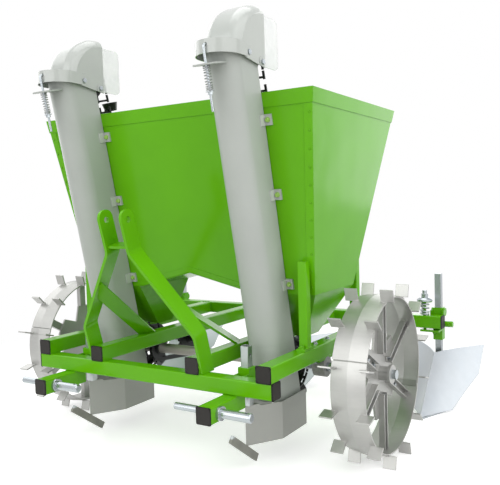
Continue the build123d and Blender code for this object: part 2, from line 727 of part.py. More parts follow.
def chain_circles():
    """Centres (y, z) of the lower and upper chain wheels of a row."""
    up = (-sin(radians(LEAN)), cos(radians(LEAN)))
    front = (-cos(radians(LEAN)), -sin(radians(LEAN)))
    step = CHAIN_LOWER_RADIUS - CHAIN_UPPER_RADIUS
    upper_y = AXLE_Y + CHAIN_SPAN * up[0] + step * front[0]
    upper_z = AXLE_Z + CHAIN_SPAN * up[1] + step * front[1]
    return (AXLE_Y, AXLE_Z), (upper_y, upper_z)


def chain_path(s):
    """Point (y, z) and travel angle on the closed chain line, s counted from the lower front tangent."""
    (y0, z0), (y1, z1) = chain_circles()
    spread = 2 * acos((CHAIN_LOWER_RADIUS - CHAIN_UPPER_RADIUS) / hypot(y1 - y0, z1 - z0))
    straight = CHAIN_SPAN
    lower_arc = CHAIN_LOWER_RADIUS * (2 * pi - spread)
    upper_arc = CHAIN_UPPER_RADIUS * spread
    front_normal = radians(180 + LEAN)
    rear_normal = front_normal - spread
    total = 2 * straight + lower_arc + upper_arc
    s %= total
    if s < straight:
        a = front_normal
        y = y0 + CHAIN_LOWER_RADIUS * cos(a) + s * cos(a - pi / 2)
        z = z0 + CHAIN_LOWER_RADIUS * sin(a) + s * sin(a - pi / 2)
        return y, z, a, total
    s -= straight
    if s < upper_arc:
        a = front_normal - s / CHAIN_UPPER_RADIUS
        return y1 + CHAIN_UPPER_RADIUS * cos(a), z1 + CHAIN_UPPER_RADIUS * sin(a), a, total
    s -= upper_arc
    if s < straight:
        a = rear_normal
        y = y1 + CHAIN_UPPER_RADIUS * cos(a) + s * cos(a - pi / 2)
        z = z1 + CHAIN_UPPER_RADIUS * sin(a) + s * sin(a - pi / 2)
        return y, z, a, total
    s -= straight
    a = rear_normal - s / CHAIN_LOWER_RADIUS
    return y0 + CHAIN_LOWER_RADIUS * cos(a), z0 + CHAIN_LOWER_RADIUS * sin(a), a, total


def chain_link(length, low_cut=0, high_cut=0):
    """Ladder link: two side bars and a cross bar. Local Y outwards, local Z along the chain."""
    half = LINK_WIDTH / 2
    low = low_cut - length / 2
    high = length / 2 - high_cut
    bar = block(half - LINK_BAR, half, -LINK_SHEET / 2, LINK_SHEET / 2, low, high)
    return bar + mirrored(bar) + Box(LINK_WIDTH - LINK_BAR, LINK_SHEET, LINK_BAR)


def chain_cup():
    """Tapered round cup on a short stand. Local Y outwards, mouth towards local +Z."""
    base = (Align.CENTER, Align.CENTER, Align.MIN)
    body = Cone(CUP_BASE_RADIUS, CUP_RADIUS, CUP_DEPTH, align=base)
    hollow = Cone(CUP_BASE_RADIUS - CUP_SHEET, CUP_RADIUS - CUP_SHEET, CUP_DEPTH, align=base)
    body -= Pos(0, 0, CUP_SHEET) * hollow
    out = LINK_SHEET / 2 + CUP_STAND + CUP_BASE_RADIUS
    reach = CUP_STAND + CUP_SHEET
    stand = Pos(0, LINK_SHEET / 2 + reach / 2, LINK_BAR / 2) * Box(2 * LINK_BAR, reach, LINK_BAR)
    return Pos(0, out, 0) * body + stand


def cup_chains():
    """The two closed cup chains; the links over the top wheels are written apart."""
    pitch = chain_path(0)[3] / CHAIN_LINKS
    spots = [chain_path((i + 0.5) * pitch) for i in range(CHAIN_LINKS)]
    hood_from = chain_circles()[1][1] - CHAIN_UPPER_RADIUS - HOOD_CHAIN_DROP
    on_hood = [i for i, spot in enumerate(spots) if spot[1] > hood_from]
    fixed = []
    for row, x in ROWS.items():
        carried = []
        for i, (y, z, a, _) in enumerate(spots):
            front_cut = FRONT_CHAIN_GAP if i == on_hood[0] else 0
            rear_cut = REAR_CHAIN_GAP if i == on_hood[-1] else 0
            piece = chain_link(pitch - LINK_GAP, rear_cut, front_cut)
            if i % LINKS_PER_CUP == CUP_PHASE[row]:
                piece = piece + chain_cup()
            place = Pos(x, y, z) * Rot(degrees(a), 0, 0)
            (carried if i in on_hood else fixed).append(place * piece)
        write("chain_top_" + row, *carried)
    write("cup_chains", *fixed)


def chain_wheel(radius, bore):
    """Plain chain wheel with a hub, a web and lightening holes, along X about the origin."""
    rim_radius = radius - LINK_SHEET / 2 - WHEEL_CLEARANCE
    rim_inside = rim_radius - WHEEL_WALL
    hub_radius = bore + WHEEL_WALL
    wheel = Cylinder(rim_radius, CHAIN_WHEEL_WIDTH) - Cylinder(rim_inside, CHAIN_WHEEL_WIDTH)
    wheel += Cylinder(rim_inside, WHEEL_WALL)
    wheel += Cylinder(hub_radius, CHAIN_WHEEL_WIDTH)
    hole = Cylinder((rim_inside - hub_radius) / 2 - WHEEL_WALL / 2, CHAIN_WHEEL_WIDTH)
    for i in range(WHEEL_HOLES):
        wheel -= Rot(0, 0, i * 360 / WHEEL_HOLES) * Pos((rim_inside + hub_radius) / 2, 0, 0) * hole
    wheel -= Cylinder(bore, 2 * CHAIN_WHEEL_WIDTH)
    return Rot(0, 90, 0) * wheel


def cup_drive():
    """Sleeve on the axle that carries the lower chain wheels of both rows and a drive sprocket."""
    end = ROW_X + CHAIN_WHEEL_WIDTH
    sleeve = rod_x(DRIVE_SLEEVE_RADIUS, -end, end, AXLE_Y, AXLE_Z)
    sleeve -= rod_x(AXLE_RADIUS + RUNNING_CLEARANCE, -end - CUT_PAST, end + CUT_PAST, AXLE_Y, AXLE_Z)
    write("drive_sleeve", sleeve)
    bore = DRIVE_SLEEVE_RADIUS + RUNNING_CLEARANCE
    wheels = [Pos(x, AXLE_Y, AXLE_Z) * chain_wheel(CHAIN_LOWER_RADIUS, bore) for x in ROWS.values()]
    write("cup_sprockets", *wheels, sprocket(SLEEVE_TEETH, bore, INNER_DRIVE_X, AXLE_Y))


def step_up_drive():
    """Sprocket on the axle, countershaft with two sprockets, and the two drive chains."""
    axle_bore = AXLE_RADIUS + RUNNING_CLEARANCE
    write("axle_sprocket", sprocket(AXLE_TEETH, axle_bore, OUTER_DRIVE_X, AXLE_Y))
    bore = COUNTER_RADIUS + RUNNING_CLEARANCE
    left = -OUTER_BEAM_X - COUNTER_END
    right = -INNER_BEAM_X + COUNTER_END
    shaft = rod_x(COUNTER_RADIUS, left, right, COUNTER_Y, AXLE_Z)
    driven = sprocket(COUNTER_IN_TEETH, bore, OUTER_DRIVE_X, COUNTER_Y)
    driving = sprocket(COUNTER_OUT_TEETH, bore, INNER_DRIVE_X, COUNTER_Y)
    write("countershaft", shaft, driven, driving)
    first = drive_chain(OUTER_DRIVE_X, AXLE_TEETH, COUNTER_IN_TEETH)
    second = drive_chain(INNER_DRIVE_X, SLEEVE_TEETH, COUNTER_OUT_TEETH)
    write("drive_chains", first, second)


def pitch_radius(teeth):
    """Pitch circle of a drive sprocket."""
    return DRIVE_PITCH / (2 * sin(pi / teeth))


def sprocket(teeth, bore, x, y):
    """Toothed wheel with a hub, along X about the line (y, AXLE_Z)."""
    radius = pitch_radius(teeth)
    wheel = Cylinder(radius + TOOTH_HEIGHT, SPROCKET_SHEET)
    seat = Cylinder(ROLLER_RADIUS, 2 * SPROCKET_SHEET)
    wheel -= [Rot(0, 0, i * 360 / teeth) * Pos(radius, 0, 0) * seat for i in range(teeth)]
    wheel += Cylinder(bore + WHEEL_WALL, SPROCKET_HUB)
    wheel -= Cylinder(bore, 2 * SPROCKET_HUB)
    return Pos(x, y, AXLE_Z) * Rot(0, 90, 0) * wheel


def drive_chain(x, axle_teeth, counter_teeth):
    """Closed roller chain: two bands of plates, and the pins of the straight runs between them."""
    front = pitch_radius(axle_teeth)
    rear = pitch_radius(counter_teeth)
    span = COUNTER_Y - AXLE_Y
    half = PLATE_HEIGHT / 2
    band = drive_loop(front + half, rear + half, span) - drive_loop(front - half, rear - half, span)
    inner = SPROCKET_SHEET / 2 + PLATE_GAP
    plate = Pos(0, 0, inner) * extrude(band, amount=PLATE_SHEET)
    chain = plate + Pos(0, 0, -2 * inner - PLATE_SHEET) * plate
    normal = ((front - rear) / span, (span ** 2 - (front - rear) ** 2) ** 0.5 / span)
    run = span * normal[1]
    pin = Cylinder(ROLLER_RADIUS / 2, 2 * inner + PLATE_SHEET)
    for i in range(PINS_CLEAR, int(run / DRIVE_PITCH) - PINS_CLEAR + 1):
        u = front * normal[0] + i * DRIVE_PITCH * normal[1]
        v = front * normal[1] - i * DRIVE_PITCH * normal[0]
        chain += [Pos(u, v, 0) * pin, Pos(u, -v, 0) * pin]
    return Pos(x, AXLE_Y, AXLE_Z) * Rot(0, 90, 0) * Rot(0, 0, 90) * chain


def drive_loop(front, rear, span):
    """Filled outline of a belt round two circles on the local X axis."""
    return make_hull(Circle(front).edges() + (Pos(span, 0) * Circle(rear)).edges())


def top_wheels():
    """Upper chain wheel of each row with its stub shaft between the hood's cheeks."""
    y, z = chain_circles()[1]
    reach = HOOD_HALF - HOOD_SHEET - BOLT_CLEARANCE
    for row, x in ROWS.items():
        wheel = Pos(x, y, z) * chain_wheel(CHAIN_UPPER_RADIUS, TOP_SHAFT_RADIUS)
        write("top_wheel_" + row, wheel + rod_x(TOP_SHAFT_RADIUS, x - reach, x + reach, y, z))


# Hoods


def hood_body(inset):
    """Quarter-round dome over flat cheeks with a slanting lower edge, drawn in by the sheet."""
    half = HOOD_HALF - inset
    radius = HOOD_DOME_RADIUS - inset
    shoulder = HOOD_SHOULDER - inset
    section = Pos(0, radius / 2) * RectangleRounded(2 * half, radius, shoulder)
    section += Pos(0, radius / 4) * Rectangle(2 * half, radius / 2)
    dome = Pos(0, HOOD_REAR_Y, HOOD_DOME_Z) * revolve(Plane.XZ * section, Axis.X, 90)
    front = HOOD_REAR_Y - radius + shoulder
    edge = [(front, HOOD_BOTTOM - 2 * inset), (HOOD_REAR_Y, HOOD_REAR_BOTTOM - 2 * inset),
            (HOOD_REAR_Y, HOOD_DOME_Z), (front, HOOD_DOME_Z)]
    return dome + yz_prism(edge, -half, half)


def hood_collar(inset):
    """Rounded band that stands around the front of the planting tube's mouth."""
    radius = COLLAR_RADIUS - inset
    low = HOOD_BOTTOM - inset
    high = HOOD_BOTTOM + COLLAR_HEIGHT - inset
    rear = PIVOT_Y - 3 * BOLT_RADIUS
    band = rod_z(radius, 0, COLLAR_Y, low, high) & block(-radius, radius, -TOOLBAR_Y, COLLAR_Y, low, high)
    return band + block(-radius, radius, COLLAR_Y, rear - inset, low, high)


def cheek_recess():
    """Flat sunk field of the right-hand cheek under the rounded band, with pads for the bolts."""
    low = HOOD_HALF - HOOD_STEP
    high = HOOD_HALF + CUT_PAST
    field = rod_x(HOOD_FIELD_RADIUS, low, high, HOOD_REAR_Y, HOOD_DOME_Z)
    for y, z in ((PIVOT_Y, PIVOT_Z), (CHEEK_BOLT_Y, CHEEK_BOLT_Z)):
        field -= rod_x(2 * BOLT_HEAD_RADIUS, low, high, y, z)
    return field - block(low, high, 0, COLLAR_Y + COLLAR_RADIUS, 0, HOOD_BOTTOM + COLLAR_HEIGHT)


def hood(x):
    """Moulded hood: dome, cheeks and collar as one shell, open below and behind."""
    y, z = chain_circles()[1]
    inside = HOOD_HALF - HOOD_SHEET
    shell = hood_body(0) + hood_collar(0) - hood_body(HOOD_SHEET) - hood_collar(HOOD_SHEET)
    shell -= block(-inside, inside, HOOD_REAR_Y - CUT_PAST, HOOD_REAR_Y + CUT_PAST,
                   HOOD_REAR_BOTTOM - CUT_PAST, HOOD_DOME_Z + HOOD_DOME_RADIUS - HOOD_SHOULDER)
    recess = cheek_recess()
    shell -= [recess, mirrored(recess)]
    reach = 2 * HOOD_HALF
    shell -= rod_x(BOLT_RADIUS + RUNNING_CLEARANCE, -reach, reach, PIVOT_Y, PIVOT_Z)
    boss = rod_x(BOSS_RADIUS, inside - BOSS_DEPTH, inside, y, z)
    boss -= rod_x(TOP_SHAFT_RADIUS + RUNNING_CLEARANCE, 0, inside, y, z)
    shell += [boss, mirrored(boss)]
    hole = Rot(90, 0, 0) * Cylinder(ROD_RADIUS + BOLT_CLEARANCE, 2 * COLLAR_RADIUS)
    hole = leaning(Pos(0, ROD_LOCAL_Y, along_tube(ROD_HOOK_Z, ROD_LOCAL_Y)) * hole, 0)
    front = block(-COLLAR_RADIUS, COLLAR_RADIUS, -TOOLBAR_Y, COLLAR_Y - COLLAR_RADIUS / 2, 0, 2 * HOPPER_TOP)
    shell -= hole & front
    return Pos(x, 0, 0) * shell


def cheek_bolts(x):
    """Bolt heads on both cheeks near the hood's rear corner."""
    bolt = Pos(HOOD_HALF, CHEEK_BOLT_Y, CHEEK_BOLT_Z) * Rot(0, 90, 0) * hex_head()
    return [Pos(x, 0, 0) * bolt, Pos(x, 0, 0) * mirrored(bolt)]


def guard_plate(x, side):
    """Clear side guard with rounded corners behind the hood's cheek."""
    low = HOOD_REAR_BOTTOM + GUARD_SHEET
    depth = GUARD_REACH + GUARD_OVERLAP
    height = GUARD_TOP - low
    plate = extrude(RectangleRounded(depth, height, GUARD_CORNER), amount=GUARD_SHEET)
    place = side * (HOOD_HALF - HOOD_SHEET - GUARD_SHEET / 2) - GUARD_SHEET / 2
    y = HOOD_REAR_Y - GUARD_OVERLAP + depth / 2
    plate = Pos(place, y, low + height / 2) * Rot(0, 0, 90) * Rot(90, 0, 0) * plate
    wheel_y, wheel_z = chain_circles()[1]
    reach = 2 * HOOD_HALF
    plate -= rod_x(BOSS_RADIUS + BOLT_CLEARANCE, -reach, reach, wheel_y, wheel_z)
    behind = block(-reach, reach, HOOD_REAR_Y, TOOLBAR_Y, 0, 2 * HOPPER_TOP)
    return Pos(x, 0, 0) * ((plate & hood_body(HOOD_SHEET)) + (plate & behind))


def spring_top():
    """Distance up the tube of the bracket's underside, where the tension spring bears."""
    return along_tube(BRACKET_Z, ROD_LOCAL_Y) - BRACKET_SHEET


def tension_rod(x):
    """Hooked rod through the collar's wall and the bracket, with washer and nut."""
    low = along_tube(ROD_END_Z, ROD_LOCAL_Y)
    high = along_tube(ROD_HOOK_Z, ROD_LOCAL_Y)
    hook = (0, ROD_LOCAL_Y + ROD_HOOK_REACH, high)
    path = FilletPolyline((0, ROD_LOCAL_Y, low), (0, ROD_LOCAL_Y, high), hook, radius=2 * ROD_RADIUS)
    rod = sweep(Pos(0, ROD_LOCAL_Y, low) * Circle(ROD_RADIUS), path=path)
    seat = spring_top() - SPRING_LENGTH
    rod += rod_z(SPRING_RADIUS + BOLT_CLEARANCE, 0, ROD_LOCAL_Y, seat - ROD_WASHER, seat)
    nut = extrude(RegularPolygon(2 * ROD_RADIUS, 6), amount=-2 * ROD_RADIUS)
    rod += Pos(0, ROD_LOCAL_Y, seat - ROD_WASHER) * nut
    return leaning(rod, x)


def coil_spring(mean_radius, wire_radius, length, turns):
    """Open coil along +Z made of tilted half turns, standing on the origin."""
    rise = (length - 2 * wire_radius) / (2 * turns)
    bow = hypot(mean_radius, rise / 2)
    halves = []
    for i in range(2 * turns):
        side = 1 if i % 2 == 0 else -1
        low = wire_radius + i * rise
        start = (side * mean_radius, 0, low)
        end = (-side * mean_radius, 0, low + rise)
        halves.append(ThreePointArc(start, (0, side * bow, low + rise / 2), end))
    first = Plane(origin=(mean_radius, 0, wire_radius), z_dir=(0, 1, 0))
    return sweep(first * Circle(wire_radius), path=Wire(halves))


def tension_spring(x):
    """Compression spring between the bracket and the rod's washer."""
    coil = coil_spring(SPRING_RADIUS - SPRING_WIRE, SPRING_WIRE, SPRING_LENGTH, SPRING_TURNS)
    return leaning(Pos(0, ROD_LOCAL_Y, spring_top() - SPRING_LENGTH) * coil, x)


def hoods():
    """Both hoods with guards, rods and springs."""
    for row, x in ROWS.items():
        write("hood_" + row, hood(x))
        write("guard_plates_" + row, guard_plate(x, -1), guard_plate(x, 1))
        write("tension_rod_" + row, tension_rod(x), *cheek_bolts(x))
        write("tension_spring_" + row, tension_spring(x))


# Ground wheels


def rim_outline(lift):
    """Points of the crowned rim's outer line, raised by a distance."""
    half = RIM_WIDTH / 2
    low = RIM_RADIUS - RIM_CROWN + lift
    return [(-half, low), (0, RIM_RADIUS + lift), (half, low)]


def rim_segment(start, sweep, lift=0):
    """Crowned sheet segment of the rim about the X axis."""
    points = rim_outline(lift) + rim_outline(lift - RIM_SHEET)[::-1]
    section = make_face(Polyline(*[(x, 0, z) for x, z in points], close=True))
    return Rot(start, 0, 0) * revolve(section, Axis.X, sweep)


def rim_inside():
    """The round space inside the rim, which the spokes end against."""
    half = RIM_WIDTH / 2
    points = rim_outline(-RIM_SHEET) + [(half, 0), (-half, 0)]
    return revolve(make_face(Polyline(*[(x, 0, z) for x, z in points], close=True)), Axis.X, 360)


def rim_height(x):
    """Outer radius of the crowned rim at a distance from its middle."""
    return RIM_RADIUS - RIM_CROWN * abs(x) / (RIM_WIDTH / 2)


def cleat():
    """Flat paddle standing on the rim's outboard edge, at the wheel's foot."""
    edge = RIM_WIDTH / 2
    inner = edge - CLEAT_INBOARD
    outer = inner + CLEAT_WIDTH
    outline = [(inner, -rim_height(inner)), (edge, -rim_height(edge)), (outer, -rim_height(edge)),
               (outer, -CLEAT_TIP_RADIUS), (inner, -CLEAT_TIP_RADIUS)]
    return xz_prism(outline, -CLEAT_SHEET / 2, CLEAT_SHEET / 2)


def spoke():
    """Channel bar from the hub plate to the rim, along +Z, open outwards."""
    face = HUB_PLATE_SHEET / 2
    half = SPOKE_WIDTH / 2
    bar = block(face, face + SPOKE_FLANGE, -half, half, SPOKE_INNER, RIM_RADIUS)
    bar -= block(face + SPOKE_SHEET, RIM_WIDTH, SPOKE_SHEET - half, half - SPOKE_SHEET, 0, 2 * RIM_RADIUS)
    return bar & rim_inside()


def hub():
    """Notched hub plate welded to a bored hub with a flange at its outer end."""
    points = []
    corners = ((HUB_PLATE_RADIUS, -HUB_ARM_ANGLE), (HUB_PLATE_RADIUS, HUB_ARM_ANGLE),
               (HUB_PLATE_WAIST, 180 / SPOKES))
    for i in range(SPOKES):
        for radius, offset in corners:
            a = radians(90 + i * 360 / SPOKES + offset)
            points.append((radius * cos(a), radius * sin(a)))
    end = HUB_LENGTH / 2
    body = yz_prism(points, -HUB_PLATE_SHEET / 2, HUB_PLATE_SHEET / 2)
    body += rod_x(HUB_RADIUS, -end, end, 0, 0)
    body += rod_x(HUB_FLANGE_RADIUS, end - HUB_FLANGE, end, 0, 0)
    return body - rod_x(AXLE_RADIUS + RUNNING_CLEARANCE, -HUB_LENGTH, HUB_LENGTH, 0, 0)


def wheel_bolt(radius):
    """Hexagon bolt head on a spoke over the hub plate, at a radius up +Z."""
    return Pos(HUB_PLATE_SHEET / 2 + SPOKE_SHEET, 0, radius) * Rot(0, 90, 0) * hex_head()


def ground_wheels():
    """Axle with both cleated wheels."""
    reach = WHEEL_X + HUB_LENGTH / 2 + AXLE_OVERHANG
    write("drive_axle", rod_x(AXLE_RADIUS, -reach, reach, AXLE_Y, AXLE_Z))
    at = Pos(WHEEL_X, AXLE_Y, AXLE_Z)
    part_turn = 360 / RIM_SEGMENTS
    joints = [RIM_JOINT_ANGLE + i * part_turn for i in range(RIM_SEGMENTS)]
    segments = [at * rim_segment(joint + RIM_GAP_ANGLE / 2, part_turn - RIM_GAP_ANGLE) for joint in joints]
    segments.append(at * rim_segment(joints[1] - LAP_LEAD, LAP_SWEEP, RIM_SHEET))
    segments.append(at * rim_segment(joints[3] + LAP_LEAD - LAP_SWEEP, LAP_SWEEP, RIM_SHEET))
    write_pair("wheel_rims", segments)
    cleats = []
    for i in range(CLEATS_PER_EDGE):
        turn = Rot(CLEAT_PHASE + i * 360 / CLEATS_PER_EDGE, 0, 0)
        cleats += [at * turn * cleat(), at * turn * mirrored(cleat())]
    write_pair("wheel_cleats", cleats)
    turns = [Rot(i * 360 / SPOKES, 0, 0) for i in range(SPOKES)]
    bar = spoke()
    write_pair("wheel_spokes", [at * turn * bar for turn in turns])
    write_pair("wheel_hubs", [at * hub()])
    bolts = []
    for turn in turns:
        for radius in (SPOKE_INNER + BOLT_INSET, HUB_PLATE_RADIUS - BOLT_INSET):
            bolts.append(at * turn * wheel_bolt(radius))
    write_pair("wheel_bolts", bolts)


def write_pair(node, solids):
    """Write a right-hand set of solids together with its mirror image."""
    write(node, *solids, *[mirrored(solid) for solid in solids])


def axle_bearings():
    """Bearing blocks of the axle under the outer beams, and the hangers of the countershaft."""
    left = OUTER_BEAM_X - BEARING_WIDTH / 2
    right = OUTER_BEAM_X + BEARING_WIDTH / 2
    housing = rod_x(BEARING_RADIUS, left, right, AXLE_Y, AXLE_Z)
    neck = BEARING_RADIUS / 2
    housing += block(left, right, AXLE_Y - neck, AXLE_Y + neck, AXLE_Z, CROSSBAR_TOP)
    housing += block(left, right, AXLE_Y - BEARING_FOOT, AXLE_Y + BEARING_FOOT,
                     CROSSBAR_TOP - LUG_SHEET, CROSSBAR_TOP)
    housing &= block(left, right, AXLE_Y - BEARING_FOOT, AXLE_Y + BEARING_FOOT, 0, CROSSBAR_TOP)
    housing -= rod_x(AXLE_RADIUS + RUNNING_CLEARANCE, left - CUT_PAST, right + CUT_PAST, AXLE_Y, AXLE_Z)
    hangers = [hanger(-OUTER_BEAM_X), hanger(-INNER_BEAM_X)]
    write("axle_bearings", housing, mirrored(housing), *hangers)


def hanger(x):
    """Plate with a rounded foot and a bush that carries the countershaft under a beam."""
    half = LUG_SHEET / 2
    radius = COUNTER_RADIUS + 2 * LUG_SHEET
    plate = block(x - half, x + half, COUNTER_Y - radius, COUNTER_Y + radius, AXLE_Z, CROSSBAR_TOP)
    plate += rod_x(radius, x - half, x + half, COUNTER_Y, AXLE_Z)
    bush = COUNTER_RADIUS + LUG_SHEET
    plate += rod_x(bush, x - 2 * half, x + 2 * half, COUNTER_Y, AXLE_Z)
    return plate - rod_x(COUNTER_RADIUS + RUNNING_CLEARANCE, x - TUBE, x + TUBE, COUNTER_Y, AXLE_Z)


# Furrow openers


def opener_shell(x):
    """Folded sheet opener: pointed nose, parallel cheeks, open behind, plate across the nose's top."""
    half = OPENER_HALF
    run = OPENER_FOLD_Y - OPENER_NOSE_Y
    slant = hypot(half, run) / half
    inner = half - OPENER_SHEET
    nose_in = OPENER_NOSE_Y + OPENER_SHEET * slant
    fold_in = nose_in + inner * run / half
    outside = [(0, OPENER_NOSE_Y), (half, OPENER_FOLD_Y), (half, OPENER_REAR_Y), (-half, OPENER_REAR_Y),
               (-half, OPENER_FOLD_Y)]
    rear_in = OPENER_REAR_Y + CUT_PAST
    inside = [(0, nose_in), (inner, fold_in), (inner, rear_in), (-inner, rear_in), (-inner, fold_in)]
    shell = xy_prism(outside, OPENER_BOTTOM, OPENER_TOP)
    shell -= xy_prism(inside, OPENER_BOTTOM - CUT_PAST, OPENER_TOP + CUT_PAST)
    plate_rear = STEM_Y + STEM
    plate_half = half * (plate_rear - OPENER_NOSE_Y) / run
    plate = xy_prism([(0, OPENER_NOSE_Y), (plate_half, plate_rear), (-plate_half, plate_rear)],
                     OPENER_TOP, OPENER_TOP + NOSE_PLATE)
    return Pos(x, 0, 0) * (shell + plate)


def opener_stem(x):
    """Square tube that carries the opener in its sleeve."""
    foot = OPENER_TOP + NOSE_PLATE
    stem = Pos(x, STEM_Y, foot) * square_tube(STEM_TOP - foot, STEM, STEM_WALL, STEM_WALL)
    return stem - rod_x(STEM_HOLE_RADIUS, x - STEM, x + STEM, STEM_Y, STEM_TOP - STEM)


def opener_runner(x, shell):
    """Flat bar on edge under the nose, front end high."""
    slope = radians(RUNNER_ANGLE)
    bar = Pos(x, RUNNER_Y, 0) * Rot(-RUNNER_ANGLE, 0, 0) * Box(RUNNER_SHEET, RUNNER_LENGTH, RUNNER_HEIGHT)
    seat_y = OPENER_NOSE_Y + OPENER_SHEET
    top_at_seat = RUNNER_HEIGHT / 2 / cos(slope) - tan(slope) * (seat_y - RUNNER_Y)
    return Pos(0, 0, OPENER_BOTTOM - top_at_seat) * bar - shell


def openers():
    """Both furrow openers and the sleeves that hold them behind the front crossbar."""
    sleeves = []
    for row, x in ROWS.items():
        shell = opener_shell(x)
        write("opener_shell_" + row, shell)
        write("opener_stem_" + row, opener_stem(x), opener_runner(x, shell))
        sleeves.append(opener_sleeve(x))
    write("opener_sleeves", *sleeves)


def opener_sleeve(x):
    """Square sleeve on two cheek plates behind the front crossbar, with a clamp bolt."""
    bore = STEM / 2 + STEM_CLEARANCE
    outer = bore + SLEEVE_WALL
    body = block(x - outer, x + outer, STEM_Y - outer, STEM_Y + outer, SLEEVE_LOW, SLEEVE_HIGH)
    low = CROSSBAR_BOTTOM + SLEEVE_CHEEK_INSET
    high = CROSSBAR_TOP - SLEEVE_CHEEK_INSET
    for left in (x - outer, x + bore):
        body += block(left, left + SLEEVE_WALL, TUBE, STEM_Y, low, high)
    body -= block(x - bore, x + bore, STEM_Y - bore, STEM_Y + bore, 0, STEM_TOP)
    boss = extrude(Circle(CLAMP_BOSS_RADIUS), amount=CLAMP_BOSS)
    head = extrude(RegularPolygon(CLAMP_HEAD_RADIUS, 6), amount=CLAMP_HEAD)
    clamp = boss + Pos(0, 0, CLAMP_BOSS) * head
    return body + Pos(x + outer, STEM_Y, CROSSBAR_TOP - TUBE / 2) * Rot(0, 90, 0) * clamp


# Ridging bodies


def ridger_lugs():
    """Pairs of lugs with trunnion pins on the toolbar's rear face."""
    lugs = []
    half = HOLDER_OUTER / 2 + LUG_GAP
    face = TOOLBAR_Y + TUBE
    lug = block(half, half + LUG_SHEET, face, RIDGER_BAR_Y,
                TRUNNION_Z - 2 * LUG_SHEET, TRUNNION_Z + LUG_SHEET)
    lug += rod_x(2 * LUG_SHEET, half, half + LUG_SHEET, RIDGER_BAR_Y, TRUNNION_Z)
    lug += rod_x(TRUNNION_RADIUS, RIDGER_BAR / 2 + LUG_GAP, half, RIDGER_BAR_Y, TRUNNION_Z)
    for x in RIDGER_PLACES.values():
        lugs += [Pos(x, 0, 0) * lug, Pos(x, 0, 0) * mirrored(lug)]
    write("ridger_lugs", *lugs)


def ridger_holder(x):
    """Swinging holder: square sleeve for the bar, arm under the toolbar, clamp bolt and trip bolt."""
    half = HOLDER_OUTER / 2
    bore = RIDGER_BAR / 2 + STEM_CLEARANCE
    y = RIDGER_BAR_Y
    foot = HOLDER_LOW - HOLDER_FOOT
    body = block(x - half, x + half, y - half, y + half, foot, HOLDER_HIGH)
    arm_front = TOOLBAR_Y + TUBE / 2 - 3 * TRIP_BOLT_RADIUS
    arm_left = x - TRIP_BOLT_OFFSET - TRIP_ARM
    body += block(arm_left, x + half, arm_front, y + half, HOLDER_LOW, HOLDER_LOW + LUG_SHEET)
    web = [(arm_front + 4 * LUG_SHEET, HOLDER_LOW), (y, HOLDER_LOW), (y, foot)]
    body += yz_prism(web, x - half, x - half + LUG_SHEET)
    body -= block(x - bore, x + bore, y - bore, y + bore, 0, RIDGER_BAR_TOP)
    reach = 2 * HOLDER_OUTER
    body -= rod_x(TRUNNION_RADIUS + RUNNING_CLEARANCE, x - reach, x + reach, y, TRUNNION_Z)
    boss = extrude(Circle(HOLDER_BOSS_RADIUS), amount=HOLDER_BOSS)
    head = extrude(RegularPolygon(HOLDER_BOSS_RADIUS, 6), amount=HOLDER_HEAD)
    clamp = boss + Pos(0, 0, HOLDER_BOSS) * head
    return body + Pos(x + half, y, HOLDER_LOW + 3 * LUG_SHEET) * Rot(0, 90, 0) * clamp


def trip_bolt(x):
    """Long bolt through the arm, the toolbar and the spring, with dished washers and a nut."""
    bx = x - TRIP_BOLT_OFFSET
    y = TOOLBAR_Y + TUBE / 2
    seat = BEAM_TOP + TRIP_SPRING_LENGTH
    bolt = rod_z(TRIP_BOLT_RADIUS, bx, y, HOLDER_LOW + LUG_SHEET, TRIP_BOLT_TOP)
    dish = Cone(TRIP_WASHER_RADIUS, TRIP_WASHER_RADIUS / 2, 2 * TRIP_WASHER)
    bolt += Pos(bx, y, seat + TRIP_WASHER) * dish
    nut = extrude(RegularPolygon(2 * TRIP_BOLT_RADIUS, 6), amount=2 * TRIP_WASHER)
    bolt += Pos(bx, y, seat + 2 * TRIP_WASHER) * nut
    return bolt


def trip_spring(x):
    """Compression spring on the toolbar's top."""
    mean_radius = TRIP_SPRING_RADIUS - TRIP_SPRING_WIRE
    coil = coil_spring(mean_radius, TRIP_SPRING_WIRE, TRIP_SPRING_LENGTH, TRIP_SPRING_TURNS)
    return Pos(x - TRIP_BOLT_OFFSET, TOOLBAR_Y + TUBE / 2, BEAM_TOP) * coil


def ridger_wing():
    """Right-hand mouldboard: a curved sheet swept back from the slanting nose, cut away at the toe."""
    rise = NOSE_HIGH_Z - NOSE_LOW_Z
    lean = NOSE_HIGH_Y - NOSE_LOW_Y
    outer = ThreePointArc((0, 0), (WING_BOW_X, WING_BOW_Y), (WING_HALF, WING_DEPTH))
    inner = outer.translate((-WING_SHEET, WING_LAP, 0))
    ends = [Line(outer @ 1, inner @ 1), Line(outer @ 0, inner @ 0)]
    sheet = make_face(Curve() + [outer, inner] + ends)
    wing = extrude(sheet, amount=hypot(rise, lean), dir=(0, lean, rise))
    wing = Pos(0, NOSE_LOW_Y, NOSE_LOW_Z) * wing
    wing &= block(0, 2 * WING_HALF, 0, 2 * REAR_LIMIT, 0, NOSE_HIGH_Z)
    low = NOSE_LOW_Z - CUT_PAST
    rear = REAR_LIMIT + CUT_PAST
    toe = [(WING_TOE_Y, low), (rear, NOSE_HIGH_Z - WING_TAIL_CUT), (rear, low)]
    return wing - yz_prism(toe, -CUT_PAST, 2 * WING_HALF)


